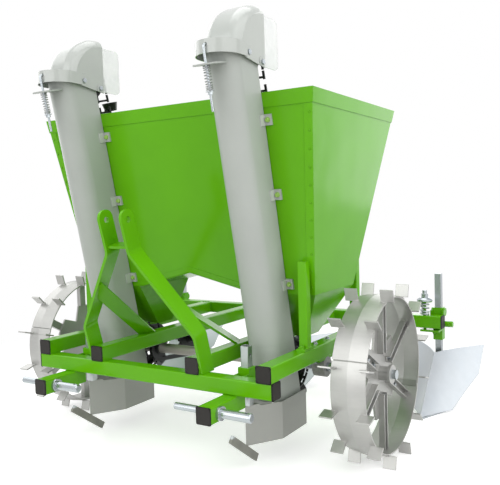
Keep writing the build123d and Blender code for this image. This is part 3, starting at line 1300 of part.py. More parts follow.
def ridger(x):
    """Ridging body on its bar: two mouldboards, a share, a frog plate and the bar."""
    wing = ridger_wing()
    other = mirrored(wing)
    notch_y = WING_TOE_Y - SHARE_NOTCH
    tip = (0, NOSE_LOW_Y - SHARE_LEAD)
    share_outline = [tip, (WING_TOE_HALF, WING_TOE_Y), (0, notch_y), (-WING_TOE_HALF, WING_TOE_Y)]
    share = xy_prism(share_outline, 0, SHARE_SHEET)
    half = RIDGER_BAR / 2
    bar_front = RIDGER_BAR_Y - half
    bar = block(-half, half, bar_front, RIDGER_BAR_Y + half, RIDGER_BAR_BOTTOM, RIDGER_BAR_TOP)
    frog_top = NOSE_HIGH_Z - FROG_INSET
    frog_outline = [(NOSE_LOW_Y + SHARE_NOTCH, SHARE_SHEET), (notch_y, SHARE_SHEET),
                    (bar_front, RIDGER_BAR_BOTTOM), (bar_front, frog_top),
                    (NOSE_HIGH_Y + FROG_INSET, frog_top)]
    frog = yz_prism(frog_outline, -WING_SHEET, WING_SHEET) - wing - other
    pieces = [wing, other, share, bar] + list(frog.solids())
    return [Pos(x, 0, 0) * piece for piece in pieces]


def ridgers():
    """Three ridging bodies with their holders, trip bolts and springs."""
    ridger_lugs()
    for place, x in RIDGER_PLACES.items():
        write("ridger_holder_" + place, ridger_holder(x), trip_bolt(x))
        write("trip_spring_" + place, trip_spring(x))
        write("ridger_" + place, *ridger(x))


frame_tubes()
frame_caps()
hitch()
mast()
posts(hopper())
for row_name, row_x in ROWS.items():
    write("planting_tube_" + row_name, *planting_tube(row_x))
tube_bolts()
cup_chains()
cup_drive()
step_up_drive()
top_wheels()
hoods()
ground_wheels()
axle_bearings()
openers()
ridgers()
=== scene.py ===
import bpy
import json
from math import atan, cos, pi, radians, sin
from mathutils import Matrix, Vector


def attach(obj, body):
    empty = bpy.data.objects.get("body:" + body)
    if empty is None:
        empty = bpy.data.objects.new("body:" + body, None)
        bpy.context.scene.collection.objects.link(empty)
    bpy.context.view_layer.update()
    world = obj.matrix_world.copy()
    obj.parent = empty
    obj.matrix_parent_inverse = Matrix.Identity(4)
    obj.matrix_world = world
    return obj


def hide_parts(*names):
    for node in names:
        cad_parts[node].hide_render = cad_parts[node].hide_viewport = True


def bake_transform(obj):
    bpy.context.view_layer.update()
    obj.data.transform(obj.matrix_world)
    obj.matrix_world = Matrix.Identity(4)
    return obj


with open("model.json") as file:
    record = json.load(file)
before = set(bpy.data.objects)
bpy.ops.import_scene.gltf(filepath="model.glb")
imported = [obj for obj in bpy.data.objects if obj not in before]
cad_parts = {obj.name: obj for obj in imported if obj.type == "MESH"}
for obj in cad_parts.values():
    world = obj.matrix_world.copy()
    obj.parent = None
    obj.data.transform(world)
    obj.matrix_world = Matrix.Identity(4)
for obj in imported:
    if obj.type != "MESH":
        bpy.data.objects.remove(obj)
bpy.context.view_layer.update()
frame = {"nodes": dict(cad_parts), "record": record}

# Camera fitted to the photograph, metres and degrees
CAMERA_PLACE = (1.42597, -2.14973, 0.83143)
CAMERA_AZIMUTH = 31.96
CAMERA_DROP = 3.22
CAMERA_ROLL = -1.66
CAMERA_CLIP_END = 60.0
FOCAL_PIXELS = 655.52
IMAGE_WIDTH = 500
SENSOR_WIDTH = 36.0

# The machine's own frame: millimetres, with y measured back from the crossbar's front face, and degrees
MILLIMETRE = 0.001
SHIFT_Y = -549.3
FULL_TURN = 360
SIDES = (-1, 1)

# Frame tubes
TUBE = 50.0
TUBE_CORNER = 5.0
CROSSBAR_TOP = 316.0
CROSSBAR_BOTTOM = 266.0
CROSSBAR_HALF = 485.0
BEAM_TOP = 366.0
BEAM_PLACES = (-460.0, -202.5, 202.5, 460.0)
OUTER_BEAM_X = 460.0
MAST_SIDE_X = 227.5
TOOLBAR_Y = 1000.0
TOOLBAR_HALF = 690.0
STUB_X = 338.0
STUB_REACH = 131.0
STUB_Z = 241.0
POST = 30.0
POST_X = 470.0
POST_PLACES = (233.0, 640.0)
POST_FLANGE = 8.0
SLEEVE_HALF = 20.4
SLEEVE_LOW = 270.0
SLEEVE_HIGH = 312.0

# Axle and wheels
AXLE_Y = 386.0
AXLE_Z = 280.7655
BEARING_BOLT_REACH = 46.0
BEARING_FOOT_Z = 308.0
BEARING_RADIUS = 34.0
WHEEL_X = 661.0
SPOKES = 6
SPOKE_SEAT = 8.0
SPOKE_BOLT_RADII = (80.0, 135.0)
HUB_RADIUS = 23.0
HUB_PLATE_FACE = 4.0
RIM_EDGE_RADIUS = 249.0
RIM_CLEAT_RADIUS = 250.9
RIM_HALF = 55.0
RIM_JOINTS = (69.5, 249.5)
JOINT_SEAT = 250.8
CLEAT_INNER = 38.0
CLEATS_PER_EDGE = 12
CLEAT_PHASE = 15.0
CLEAT_HALF = 2.5

# Planting tubes, springs and ridging bodies
ROWS = {"left": -337.5, "right": 337.5}
FRONT_SLOPE = 0.2128
LEAN = atan(FRONT_SLOPE)
FOOT_Y = 395.2504
CHUTE_HALF = 55.0
CHUTE_STRAIGHT = 90.0
TAB_LEVELS = (572.0, 864.0, 1094.0)
TAB_OUT = 68.0
TAB_SHEET = 4.0
BRACKET_Z = 1237.0
BRACKET_SHEET = 5.0
ROD_LOCAL_Y = -191.5
RIDGERS = {"left": -661.0, "middle": 0.0, "right": 661.0}
TRIP_BOLT_OFFSET = 42.0
TRIP_NUT_SINK = 0.4

# Hopper
HOPPER_TOP_HALF = 568.0
HOPPER_BOTTOM_HALF = 495.0
HOPPER_TOP = 1176.0
HOPPER_BOTTOM = 538.0
RIM_BAND = 45.0
CORNER_LAP = 26.0
SPOTS_PER_CORNER = 11

# Sizes of the small pieces, with turns and seeds as plain numbers
TENSION_COIL = {"Turns": 11.0, "Radius": 9.9, "Wire": 1.45, "Length": 72.0}
TENSION_NUT = {"Head": 7.0, "Height": 6.0, "Washer": 12.5, "Sheet": 1.8}
TRIP_COIL = {"Turns": 3.75, "Radius": 15.2, "Wire": 3.8, "Length": 54.0}
TRIP_NUT_SIZES = {"Radius": 31.0, "Height": 18.0, "Head": 14.5, "Length": 48.0, "Wire": 9.2}
TAB_BOLT = {"Head": 7.4, "Height": 5.0, "Washer": 8.4, "Sheet": 1.2}
TAB_LEG = {"Length": 34.0, "Width": 24.0, "Corner": 4.0, "Sheet": 3.0}
FOOT_BOLT = {"Head": 8.2, "Height": 6.5, "Washer": 8.8, "Sheet": 2.0}
FOOT_BOLT_GAP = 9.0
BEARING_BOLT = {"Head": 6.6, "Height": 5.0, "Washer": 8.6, "Sheet": 1.6}
HUB_BOLT = {"Head": 7.6, "Height": 5.2, "Washer": 9.6, "Sheet": 1.8}
TUBE_CAP = {"Side": TUBE, "Corner": 4.0, "Height": 4.0}
RIM_JOINT_PLATE = {"Length": 104.0, "Width": 22.0, "Height": 5.67, "Sheet": 2.5}
FRAME_BEAD = {"Radius": 2.6, "Step": 2.9, "Seed": 3}
TUBE_BEAD = {"Radius": 2.1, "Step": 2.3, "Seed": 5}
WHEEL_BEAD = {"Radius": 2.2, "Step": 2.5, "Seed": 7}
LAP_SPOT = {"Radius": 3.6, "Height": 0.6}
LENGTHS = {"Radius", "Wire", "Length", "Head", "Height", "Washer", "Sheet", "Step", "Side", "Corner", "Width"}

# Weld seams, the mast's as pairs of depth and height above the crossbar
SEAM_INSET = 2.0
SEAM_END = 4.0
SEAM_LIFT = 1.5
SEAM_STAND = 1.0
MAST_FRONT_SEAM = ((7.3, 2.0), (0.6, 26.0))
MAST_REAR_SEAM = ((70.0, 2.0), (58.0, 45.0))
BRACKET_SEAM_REACH = 33
BRACKET_SEAM_STEP = 6
HUB_SEAM_STEP = 12

# Shares and counts that shape the small pieces
END_COIL_PULL = 0.06
COIL_STEPS = 40
WIRE_SIDES = 10
HEX_SIDES = 6
ROUND_SIDES = 24
DISC_SIDES = 40
CROWN_TAPER = 0.84
BOLT_CROWN = 0.22
NUT_CROWN = 0.1
WASHER_LIP = 0.24
WASHER_LIP_RADIUS = 0.86
WASHER_BAND = 0.32
WASHER_DOME = 0.44
WASHER_DOME_RADIUS = 0.62
SPOT_SEGMENTS = 14
SPOT_RINGS = 6
BEAD_SEGMENTS = 8
BEAD_RINGS = 5
SMALLEST_BEAD = 0.82
LARGEST_BEAD = 1.18
CAP_CORNER_STEPS = 6
LEG_CORNER_STEPS = 5
PLATE_COLUMNS = 3
PLATE_ROWS = 2
# Each ring of a cap's head: its rise as a share of the height, its size as a share of the ring before
CAP_RINGS = ((0.62, 1.0), (0.28, 0.968), (0.10, 0.93), (0.0, 0.80), (-0.16, 0.965))

# Directions
UPWARD = (0.0, 0.0, 1.0)
DOWNWARD = (0.0, 0.0, -1.0)
FORWARD = (0.0, -1.0, 0.0)
OUT_OF_FRONT = (0.0, -cos(LEAN), -sin(LEAN))
DOWN_THE_TUBE = (0.0, sin(LEAN), -cos(LEAN))

# Places of the sockets that share their name with others on the node
MIX_FIRST = 6
MIX_SECOND = 7
MIX_COLOUR = 2
RANDOM_LOW = 2
RANDOM_HIGH = 3
RANDOM_NUMBER = 1

# Colours of the finishes, in pairs where a finish wanders between two
WHITE = (1.0, 1.0, 1.0, 1.0)
GREEN = (0.118, 0.415, 0.003)
# Lighter, yellower green than the frame: partly the bolts' own tint, partly a painted highlight
BOLT_GREEN_WITH_PAINTED_HIGHLIGHT = (0.33, 0.56, 0.12)
GREY = (0.42, 0.445, 0.42)
HOOD_GREY = (0.43, 0.455, 0.43)
# Lighter than the tubes' grey: painted light on the tab legs, standing in for the light the front-facing tabs
# catch
TAB_GREY_WITH_PAINTED_LIGHT = (0.55, 0.57, 0.55)
CAP_BLACK = (0.016, 0.014, 0.012)
CHAIN_BLACK = (0.014, 0.014, 0.015)
ZINC = (0.41, 0.445, 0.47)
ZINC_TINT = (0.43, 0.45, 0.43)
RIDGER_ZINC = (0.40, 0.425, 0.448)
RIDGER_TINT = (0.36, 0.40, 0.44)
SPRING_ZINC = (0.36, 0.375, 0.38)
SPRING_TINT = (0.40, 0.39, 0.35)
YELLOW_ZINC = (0.55, 0.56, 0.26)
YELLOW_TINT = (0.50, 0.58, 0.30)
WHEEL_STEEL = (0.43, 0.43, 0.415)
OPENER_STEEL = (0.29, 0.295, 0.275)
DRIVE_TUBE_STEEL = (0.36, 0.34, 0.31)
BARE_RUNNER = ((0.20, 0.20, 0.175), (0.26, 0.26, 0.23))
PLATED_STEM = ((0.42, 0.45, 0.455), (0.48, 0.51, 0.51))
CAST_HOUSING = ((0.26, 0.26, 0.25), (0.36, 0.36, 0.345))
MILKY_GUARD = ((0.86, 0.88, 0.88), (0.93, 0.94, 0.94))

# Surface values, with lengths in metres
EDGE_RADIUS = 0.0018
EDGE_SAMPLES = 4
NOISE_MIDDLE = 0.5
RAMP_START = 0.3
RAMP_END = 0.7
SHEET_WAVE = 0.003
PEEL = 0.00004
FINE_PEEL = 0.00003
FINEST_PEEL = 0.00002
GREEN_GLOSS = 0.17
PAINT_FILM = {"Specular IOR Level": 0.22}
TUBE_FILM = {"Specular IOR Level": 0.18}
HOOD_FILM = {"Specular IOR Level": 0.25, "Coat Weight": 0.8, "Coat Roughness": 0.12}
PLASTIC_FILM = {"Specular IOR Level": 0.3}
GUARD_BODY = {"IOR": 1.49}
GUARD_GLOSS = 0.12
GUARD_GLOSS_RANGE = 0.08
PLATE_METAL = 0.85
CLOUD_SHARE = 0.7
RUNNER_LINE = 0.130
RUNNER_BLEND = 0.002
RUNNER_METAL = 0.35
RUNNER_GLOSS = 0.52
STEM_METAL = 1.0
STEM_GLOSS = 0.32
BEARING_BLEND = 0.001

# Studio, metres and watts
WORLD_GLOW = 0.36
SOFTBOXES = {
    "right_key": {"place": (4.4, -1.0, 2.9), "aim": (0.0, 0.0, 0.5), "size": 6.6, "power": 210.0},
    "front_fill": {"place": (-0.8, -4.6, 2.5), "aim": (0.0, 0.0, 0.3), "size": 4.8, "power": 146.0},
    "top_soft": {"place": (0.0, 0.3, 4.6), "aim": (0.0, 0.0, 0.0), "size": 3.0, "power": 55.0},
    "left_fill": {"place": (-4.6, 0.2, 2.5), "aim": (0.0, 0.0, 0.5), "size": 4.8, "power": 96.0},
    "rear_soft": {"place": (0.8, 5.0, 2.5), "aim": (0.0, 0.0, 0.5), "size": 4.8, "power": 100.0},
}
FLOOR_PALE = (0.92, 0.92, 0.92, 1.0)
FLOOR_BOUNCE = (0.58, 0.57, 0.55, 1.0)
FLOOR_GLOW = 0.40
FLOOR_NEAR = 0.9
FLOOR_FAR = 2.2
FLOOR_HALF = 30.0


def at(x, y, z):
    """A place on the machine in the scene's metres."""
    return Vector((x, y + SHIFT_Y, z)) * MILLIMETRE


def leaning(x, out, up):
    """A place in the leaning planting tube's own frame, as machine millimetres."""
    return x, FOOT_Y + out * cos(LEAN) - up * sin(LEAN), out * sin(LEAN) + up * cos(LEAN)


def along_tube(z, out):
    """Distance up the leaning tube at which a line beside its back passes a height."""
    return (z - out * sin(LEAN)) / cos(LEAN)


def front_panel_y(z):
    """Outer face of the hopper's front panel at a height."""
    return FOOT_Y - z * FRONT_SLOPE


def tab_places():
    """Row and distance up the tube of every pair of tabs."""
    return [(x, along_tube(level, 0.0)) for x in ROWS.values() for level in TAB_LEVELS]


# Node trees


class Wire:
    """A node value that can be used in Python sums."""

    def __init__(self, graph, socket):
        self.graph = graph
        self.socket = socket

    def _math(self, operation, first, second):
        return self.graph.node("ShaderNodeMath", {"operation": operation}, {0: first, 1: second})

    def __add__(self, other):
        return self._math("ADD", self, other)

    def __radd__(self, other):
        return self._math("ADD", other, self)

    def __sub__(self, other):
        return self._math("SUBTRACT", self, other)

    def __rsub__(self, other):
        return self._math("SUBTRACT", other, self)

    def __mul__(self, other):
        return self._math("MULTIPLY", self, other)

    def __rmul__(self, other):
        return self._math("MULTIPLY", other, self)

    def __truediv__(self, other):
        return self._math("DIVIDE", self, other)

    def __rtruediv__(self, other):
        return self._math("DIVIDE", other, self)

    def __pow__(self, other):
        return self._math("POWER", self, other)

    def __rpow__(self, other):
        return self._math("POWER", other, self)


class Graph:
    """A node tree whose nodes are added one line at a time."""

    def __init__(self, tree):
        self.tree = tree

    def node(self, kind, settings=None, sockets=None, out=0):
        """Add a node: its settings first, then the values or links of its sockets."""
        made = self.tree.nodes.new(kind)
        for key, value in (settings or {}).items():
            if key == "stops":
                set_stops(made.color_ramp, value)
            else:
                setattr(made, key, value)
        for key, value in (sockets or {}).items():
            for part in value if isinstance(value, list) else [value]:
                if isinstance(part, Wire):
                    self.tree.links.new(part.socket, made.inputs[key])
                else:
                    made.inputs[key].default_value = part
        return Wire(self, made.outputs[out]) if made.outputs else made


class Finish(Graph):
    """One material and the nodes that make it."""

    def __init__(self, name):
        self.material = bpy.data.materials.new(name)
        self.material.use_nodes = True
        super().__init__(self.material.node_tree)
        self.tree.nodes.clear()
        self.place = self.node("ShaderNodeTexCoord", out="Object")

    def coordinate(self, axis):
        """One of the three coordinates on the piece."""
        return self.node("ShaderNodeSeparateXYZ", sockets={0: self.place}, out=axis)

    def noise(self, scale, detail=3.0, rough=0.55, stretch=None):
        """Noise on the piece's own coordinates, in repeats per metre, with an optional stretch."""
        where = self.place
        if stretch:
            where = self.node("ShaderNodeMapping", sockets={"Vector": where, "Scale": stretch})
        return self.node("ShaderNodeTexNoise", sockets={
            "Vector": where, "Scale": scale, "Detail": detail, "Roughness": rough})

    def ramp(self, value, colours, start=RAMP_START, end=RAMP_END):
        """Turn a value into a colour between two."""
        stops = ((start, colours[0]), (end, colours[1]))
        return self.node("ShaderNodeValToRGB", {"stops": stops}, {"Fac": value})

    def tone(self, value, colour, darkest, lightest, start=RAMP_START, end=RAMP_END):
        """A colour that wanders between a darker and a lighter version of itself."""
        return self.ramp(value, (shade(colour, darkest), shade(colour, lightest)), start, end)

    def level(self, value, low, high, start=0.0, end=1.0):
        """Stretch a value from one range to another, held at both ends."""
        return self.node("ShaderNodeMapRange", {"clamp": True}, {
            "Value": value, "From Min": low, "From Max": high, "To Min": start, "To Max": end})

    def mix(self, amount, first, second):
        """Blend two colours."""
        pair = [part if isinstance(part, Wire) else (*part, 1.0) for part in (first, second)]
        sockets = {"Factor": amount, MIX_FIRST: pair[0], MIX_SECOND: pair[1]}
        return self.node("ShaderNodeMix", {"data_type": "RGBA"}, sockets, out=MIX_COLOUR)

    def bump(self, height, strength, distance):
        """Surface relief from a height, on edges that are slightly rounded."""
        rounded = self.node("ShaderNodeBevel", {"samples": EDGE_SAMPLES}, {"Radius": EDGE_RADIUS})
        return self.node("ShaderNodeBump", sockets={
            "Height": height, "Strength": strength, "Distance": distance, "Normal": rounded})

    def surface(self, fixed, varying):
        """Principled surface with fixed numbers and varying links."""
        shader = self.node("ShaderNodeBsdfPrincipled", sockets={**fixed, **varying})
        self.node("ShaderNodeOutputMaterial", sockets={"Surface": shader})
        return self.material


class Recipe(Graph):
    """A geometry tree with named inputs that ends in one real mesh of one finish."""

    KINDS = {float: "NodeSocketFloat", int: "NodeSocketInt"}

    def __init__(self, name, sizes):
        super().__init__(bpy.data.node_groups.new(name, "GeometryNodeTree"))
        face = self.tree.interface
        face.new_socket("Geometry", in_out="INPUT", socket_type="NodeSocketGeometry")
        self.identifiers = {}
        for label, value in sizes.items():
            made = face.new_socket(label, in_out="INPUT", socket_type=self.KINDS[type(value)])
            self.identifiers[label] = made.identifier
        made = face.new_socket("Finish", in_out="INPUT", socket_type="NodeSocketMaterial")
        self.identifiers["Finish"] = made.identifier
        face.new_socket("Geometry", in_out="OUTPUT", socket_type="NodeSocketGeometry")
        self.entry = self.node("NodeGroupInput").socket.node

    def value(self, label):
        """One of the tree's own inputs."""
        return Wire(self, self.entry.outputs[label])

    def vector(self, x, y, z):
        """Three values as one."""
        return self.node("ShaderNodeCombineXYZ", sockets={0: x, 1: y, 2: z})

    def coordinate(self, axis):
        """One of the three coordinates of the points."""
        where = self.node("GeometryNodeInputPosition")
        return self.node("ShaderNodeSeparateXYZ", sockets={0: where}, out=axis)

    def facing(self, way):
        """Turn that brings +Z onto a direction."""
        return self.node("FunctionNodeAlignRotationToVector", {"axis": "Z"}, {"Vector": way})

    def cylinder(self, sides, radius, depth):
        """Closed cylinder about its middle."""
        return self.node("GeometryNodeMeshCylinder", sockets={
            "Vertices": sides, "Radius": radius, "Depth": depth})

    def cone(self, sides, bottom, top, depth):
        """Closed cone without its tip, standing on its bottom face."""
        return self.node("GeometryNodeMeshCone", sockets={
            "Vertices": sides, "Radius Bottom": bottom, "Radius Top": top, "Depth": depth})

    def ball(self, segments, rings, radius):
        """Ball about its middle."""
        return self.node("GeometryNodeMeshUVSphere", sockets={
            "Segments": segments, "Rings": rings, "Radius": radius})

    def rounded_plate(self, width, height, corner, steps):
        """Flat face with rounded corners."""
        square = self.node("GeometryNodeCurvePrimitiveQuadrilateral", sockets={
            "Width": width, "Height": height})
        rounded = self.node("GeometryNodeFilletCurve", {"mode": "POLY"}, {
            "Curve": square, "Count": steps, "Radius": corner})
        return self.node("GeometryNodeFillCurve", {"mode": "NGONS"}, {"Curve": rounded})

    def raised(self, geometry, z):
        """Geometry shifted upwards."""
        shift = self.vector(0.0, 0.0, z)
        return self.node("GeometryNodeTransform", sockets={"Geometry": geometry, "Translation": shift})

    def joined(self, *parts):
        """Several geometries as one."""
        return self.node("GeometryNodeJoinGeometry", sockets={"Geometry": list(parts)})

    def merged(self, *parts):
        """Several geometries as one, with their shared points made one."""
        return self.node("GeometryNodeMergeByDistance", sockets={"Geometry": self.joined(*parts)})

    def flipped(self, sheet):
        """A sheet with its faces turned over."""
        return self.node("GeometryNodeFlipFaces", sockets={"Mesh": sheet})

    def thickened(self, sheet, amount):
        """An open sheet raised along its faces into a closed slab."""
        raised = self.node("GeometryNodeExtrudeMesh", {"mode": "FACES"}, {
            "Mesh": sheet, "Offset Scale": amount, "Individual": False})
        return self.merged(raised, self.flipped(sheet))

    def on_seats(self, shape):
        """The shape on every point of the base mesh, turned the way the point faces."""
        way = self.node("GeometryNodeInputNamedAttribute", {"data_type": "FLOAT_VECTOR"}, {"Name": "facing"})
        return self.node("GeometryNodeInstanceOnPoints", sockets={
            "Points": self.value("Geometry"), "Instance": shape, "Rotation": self.facing(way)})

    def close(self, geometry, smooth):
        """End the tree: real mesh, shading and finish."""
        real = self.node("GeometryNodeRealizeInstances", sockets={"Geometry": geometry})
        shaded = self.node("GeometryNodeSetShadeSmooth", sockets={0: real, "Shade Smooth": smooth})
        finish = self.value("Finish")
        done = self.node("GeometryNodeSetMaterial", sockets={"Geometry": shaded, "Material": finish})
        self.node("NodeGroupOutput", sockets={0: done})
        return self


def set_stops(ramp, stops):
    """Set a colour ramp's stops from (place, colour) pairs."""
    while len(ramp.elements) > 1:
        ramp.elements.remove(ramp.elements[-1])
    for index, (place, colour) in enumerate(stops):
        element = ramp.elements[0] if index == 0 else ramp.elements.new(place)
        element.position = place
        element.color = (*colour, 1.0)


def shade(colour, factor):
    """A lighter or darker version of a colour."""
    return tuple(min(1.0, part * factor) for part in colour)


def around(noise, amount):
    """A noise value as a change up or down."""
    return (noise - NOISE_MIDDLE) * amount


# Finishes


def paint_layer(made, colour, gloss, peel):
    """Sockets of a sprayed coat: slight cloudiness, fine orange peel and the sheet's own waviness."""
    cloud = made.noise(scale=5.0, detail=4.0)
    speck = made.noise(scale=260.0, detail=2.0)
    tone = made.tone(cloud, colour, darkest=0.96, lightest=1.04, start=0.32, end=0.68)
    rough = gloss + around(cloud, amount=0.10) + around(speck, amount=0.06)
    grain = made.noise(scale=340.0, detail=2.0, rough=0.45)
    height = grain * peel + made.noise(scale=4.5, detail=1.0) * SHEET_WAVE
    relief = made.bump(height, strength=1.0, distance=1.0)
    return {"Base Color": tone, "Roughness": rough, "Normal": relief}


def powder_paint(name, colour, gloss, peel, film):
    """Sprayed powder coat."""
    made = Finish(name)
    return made.surface(film, paint_layer(made, colour, gloss, peel))


def plated_steel(name, colour, gloss, warm):
    """Bright plating: soft mottling, a faint tint that wanders, fine drawn lines."""
    made = Finish(name)
    mottle = made.noise(scale=26.0, detail=3.0, rough=0.5)
    tint = made.noise(scale=9.0, detail=2.0)
    base = made.tone(mottle, colour, darkest=0.97, lightest=1.03)
    toned = made.mix(made.level(tint, low=0.45, high=0.7, end=0.3), base, warm)
    rough = gloss + around(mottle, amount=0.06)
    relief = made.bump(made.noise(scale=420.0, detail=2.0), strength=0.02, distance=0.0002)
    varying = {"Base Color": toned, "Roughness": rough, "Normal": relief}
    return made.surface({"Metallic": PLATE_METAL}, varying)


def rolled_steel(name, colour, gloss, metal, contrast):
    """Bare sheet steel: cloudy tone, short scratches and a dull, uneven shine."""
    made = Finish(name)
    cloud = made.noise(scale=11.0, detail=4.0)
    scratch = made.noise(scale=120.0, detail=3.0, rough=0.6, stretch=(0.12, 1.0, 1.0))
    worn = cloud * CLOUD_SHARE + scratch * (1.0 - CLOUD_SHARE)
    base = made.tone(worn, colour, darkest=1.0 - contrast, lightest=1.0 + contrast, start=0.32, end=0.66)
    rough = gloss + around(cloud, amount=0.16) + around(scratch, amount=0.10)
    relief = made.bump(scratch, strength=0.05, distance=0.0003)
    return made.surface({"Metallic": metal}, {"Base Color": base, "Roughness": rough, "Normal": relief})


def stem_steel(name):
    """Plated stem above, bare mill-grey runner bar below one height."""
    made = Finish(name)
    above = made.level(made.coordinate(axis=2), RUNNER_LINE, RUNNER_LINE + RUNNER_BLEND)
    cloud = made.noise(scale=24.0, detail=4.0)
    bare = made.ramp(cloud, BARE_RUNNER)
    plated = made.ramp(cloud, PLATED_STEM)
    metal = RUNNER_METAL + above * (STEM_METAL - RUNNER_METAL)
    rough = RUNNER_GLOSS + above * (STEM_GLOSS - RUNNER_GLOSS) + around(cloud, amount=0.12)
    relief = made.bump(made.noise(scale=300.0, detail=2.0), strength=0.06, distance=0.0003)
    tone = made.mix(above, bare, plated)
    return made.surface({}, {"Base Color": tone, "Metallic": metal, "Roughness": rough, "Normal": relief})


def bearing_paint(name):
    """Painted hangers with cast grey housings around the axle."""
    made = Finish(name)
    across = made.coordinate(axis=1) - (AXLE_Y + SHIFT_Y) * MILLIMETRE
    up = made.coordinate(axis=2) - AXLE_Z * MILLIMETRE
    away = (across * across + up * up) ** 0.5
    edge = BEARING_RADIUS * MILLIMETRE
    outside = made.level(away, edge, edge + BEARING_BLEND)
    layer = paint_layer(made, GREEN, GREEN_GLOSS, PEEL)
    cast = made.ramp(made.noise(scale=90.0, detail=4.0, rough=0.65), CAST_HOUSING)
    layer["Base Color"] = made.mix(outside, cast, layer["Base Color"])
    return made.surface(PAINT_FILM, layer)


def moulded_plastic(name, colour, gloss, grain):
    """Moulded plastic: fine grain and a little cloudiness."""
    made = Finish(name)
    cloud = made.noise(scale=12.0, detail=3.0)
    fine = made.noise(scale=grain, detail=2.0)
    base = made.tone(cloud, colour, darkest=0.9, lightest=1.08)
    rough = gloss + around(fine, amount=0.16)
    relief = made.bump(fine, strength=0.10, distance=0.0004)
    return made.surface(PLASTIC_FILM, {"Base Color": base, "Roughness": rough, "Normal": relief})


def clear_guard(name):
    """Milky see-through sheet."""
    made = Finish(name)
    cloud = made.noise(scale=18.0, detail=3.0)
    base = made.ramp(cloud, MILKY_GUARD)
    veil = made.level(cloud, low=0.2, high=0.8, start=0.42, end=0.58)
    rough = GUARD_GLOSS + cloud * GUARD_GLOSS_RANGE
    return made.surface(GUARD_BODY, {"Base Color": base, "Alpha": veil, "Roughness": rough})


FINISHES = {
    "green_paint": powder_paint("green_powder_coat", GREEN, GREEN_GLOSS, PEEL, PAINT_FILM),
    "grey_sheet": powder_paint("grey_tube_paint", GREY, gloss=0.36, peel=PEEL, film=TUBE_FILM),
    "hood_grey": powder_paint("grey_hood_paint", HOOD_GREY, gloss=0.30, peel=FINEST_PEEL, film=HOOD_FILM),
    "black_plastic": moulded_plastic("black_cap_plastic", CAP_BLACK, gloss=0.50, grain=500.0),
    "chain_black": moulded_plastic("black_chain_oxide", CHAIN_BLACK, gloss=0.42, grain=300.0),
    "zinc": plated_steel("bluish_zinc", ZINC, gloss=0.24, warm=ZINC_TINT),
    "ridger_zinc": plated_steel("ridger_zinc_plate", RIDGER_ZINC, gloss=0.34, warm=RIDGER_TINT),
    "spring_steel": plated_steel("spring_zinc", SPRING_ZINC, gloss=0.26, warm=SPRING_TINT),
    "yellow_zinc": plated_steel("yellow_zinc_plate", YELLOW_ZINC, gloss=0.36, warm=YELLOW_TINT),
    "wheel_steel": rolled_steel("bright_wheel_steel", WHEEL_STEEL, gloss=0.38, metal=0.7, contrast=0.07),
    "opener_steel": rolled_steel("dull_opener_steel", OPENER_STEEL, gloss=0.44, metal=0.7, contrast=0.03),
    "guard_clear": clear_guard("milky_guard_sheet"),
}

STEM_FINISH = stem_steel("stem_and_runner_steel")
# Tab legs in a lighter grey than the tubes, which is painted light
TAB_FINISH_WITH_PAINTED_LIGHT = powder_paint("tab_paint", TAB_GREY_WITH_PAINTED_LIGHT, gloss=0.40, peel=FINE_PEEL, film=TUBE_FILM)
# Tab bolt heads brightened above the frame green: part tint, part painted highlight
BOLT_FINISH_WITH_PAINTED_HIGHLIGHT = powder_paint("bolt_paint", BOLT_GREEN_WITH_PAINTED_HIGHLIGHT, gloss=0.25, peel=FINE_PEEL, film=PAINT_FILM)
FINISH_OF_NODE = {
    "opener_stem_left": STEM_FINISH,
    "opener_stem_right": STEM_FINISH,
    "axle_bearings": bearing_paint("bearing_paint"),
    "wheel_hubs": FINISHES["wheel_steel"],
    "wheel_spokes": FINISHES["wheel_steel"],
    "drive_sleeve": rolled_steel("drive_tube_steel", DRIVE_TUBE_STEEL, gloss=0.45, metal=0.6, contrast=0.05),
}

SLOT_OF_NODE = {entry["node"]: entry["material_slot"] for entry in frame["record"]["subparts"]}


def paint_frame():
    """Give every CAD piece its finish."""
    for name, piece in frame["nodes"].items():
        piece.data.materials.clear()
        piece.data.materials.append(FINISH_OF_NODE.get(name, FINISHES[SLOT_OF_NODE[name]]))


# Base meshes and geometry trees of the small pieces


def seat_mesh(seats):
    """Base mesh of single points, each with the way it faces."""
    mesh = bpy.data.meshes.new("seats")
    mesh.from_pydata([at(*place) for place, way in seats], [], [])
    facing = mesh.attributes.new("facing", "FLOAT_VECTOR", "POINT")
    facing.data.foreach_set("vector", [part for place, way in seats for part in way])
    return mesh


def line_mesh(lines):
    """Base mesh of open lines."""
    points = []
    edges = []
    for line in lines:
        first = len(points)
        points += [at(*point) for point in line]
        edges += [(first + i, first + i + 1) for i in range(len(line) - 1)]
    mesh = bpy.data.meshes.new("lines")
    mesh.from_pydata(points, edges, [])
    return mesh


def grow(name, recipe, base, slot, sizes, finish=None):
    """Run a geometry tree on a base mesh and keep its result as one plain mesh piece."""
    piece = bpy.data.objects.new(name, base)
    bpy.context.scene.collection.objects.link(piece)
    growth = piece.modifiers.new("growth", "NODES")
    growth.node_group = recipe.tree
    for label, value in sizes.items():
        growth[recipe.identifiers[label]] = value * MILLIMETRE if label in LENGTHS else value
    growth[recipe.identifiers["Finish"]] = finish or FINISHES[slot]
    grown = piece.evaluated_get(bpy.context.evaluated_depsgraph_get())
    solid = bpy.data.meshes.new_from_object(grown)
    piece.modifiers.remove(growth)
    piece.data = solid
    return piece


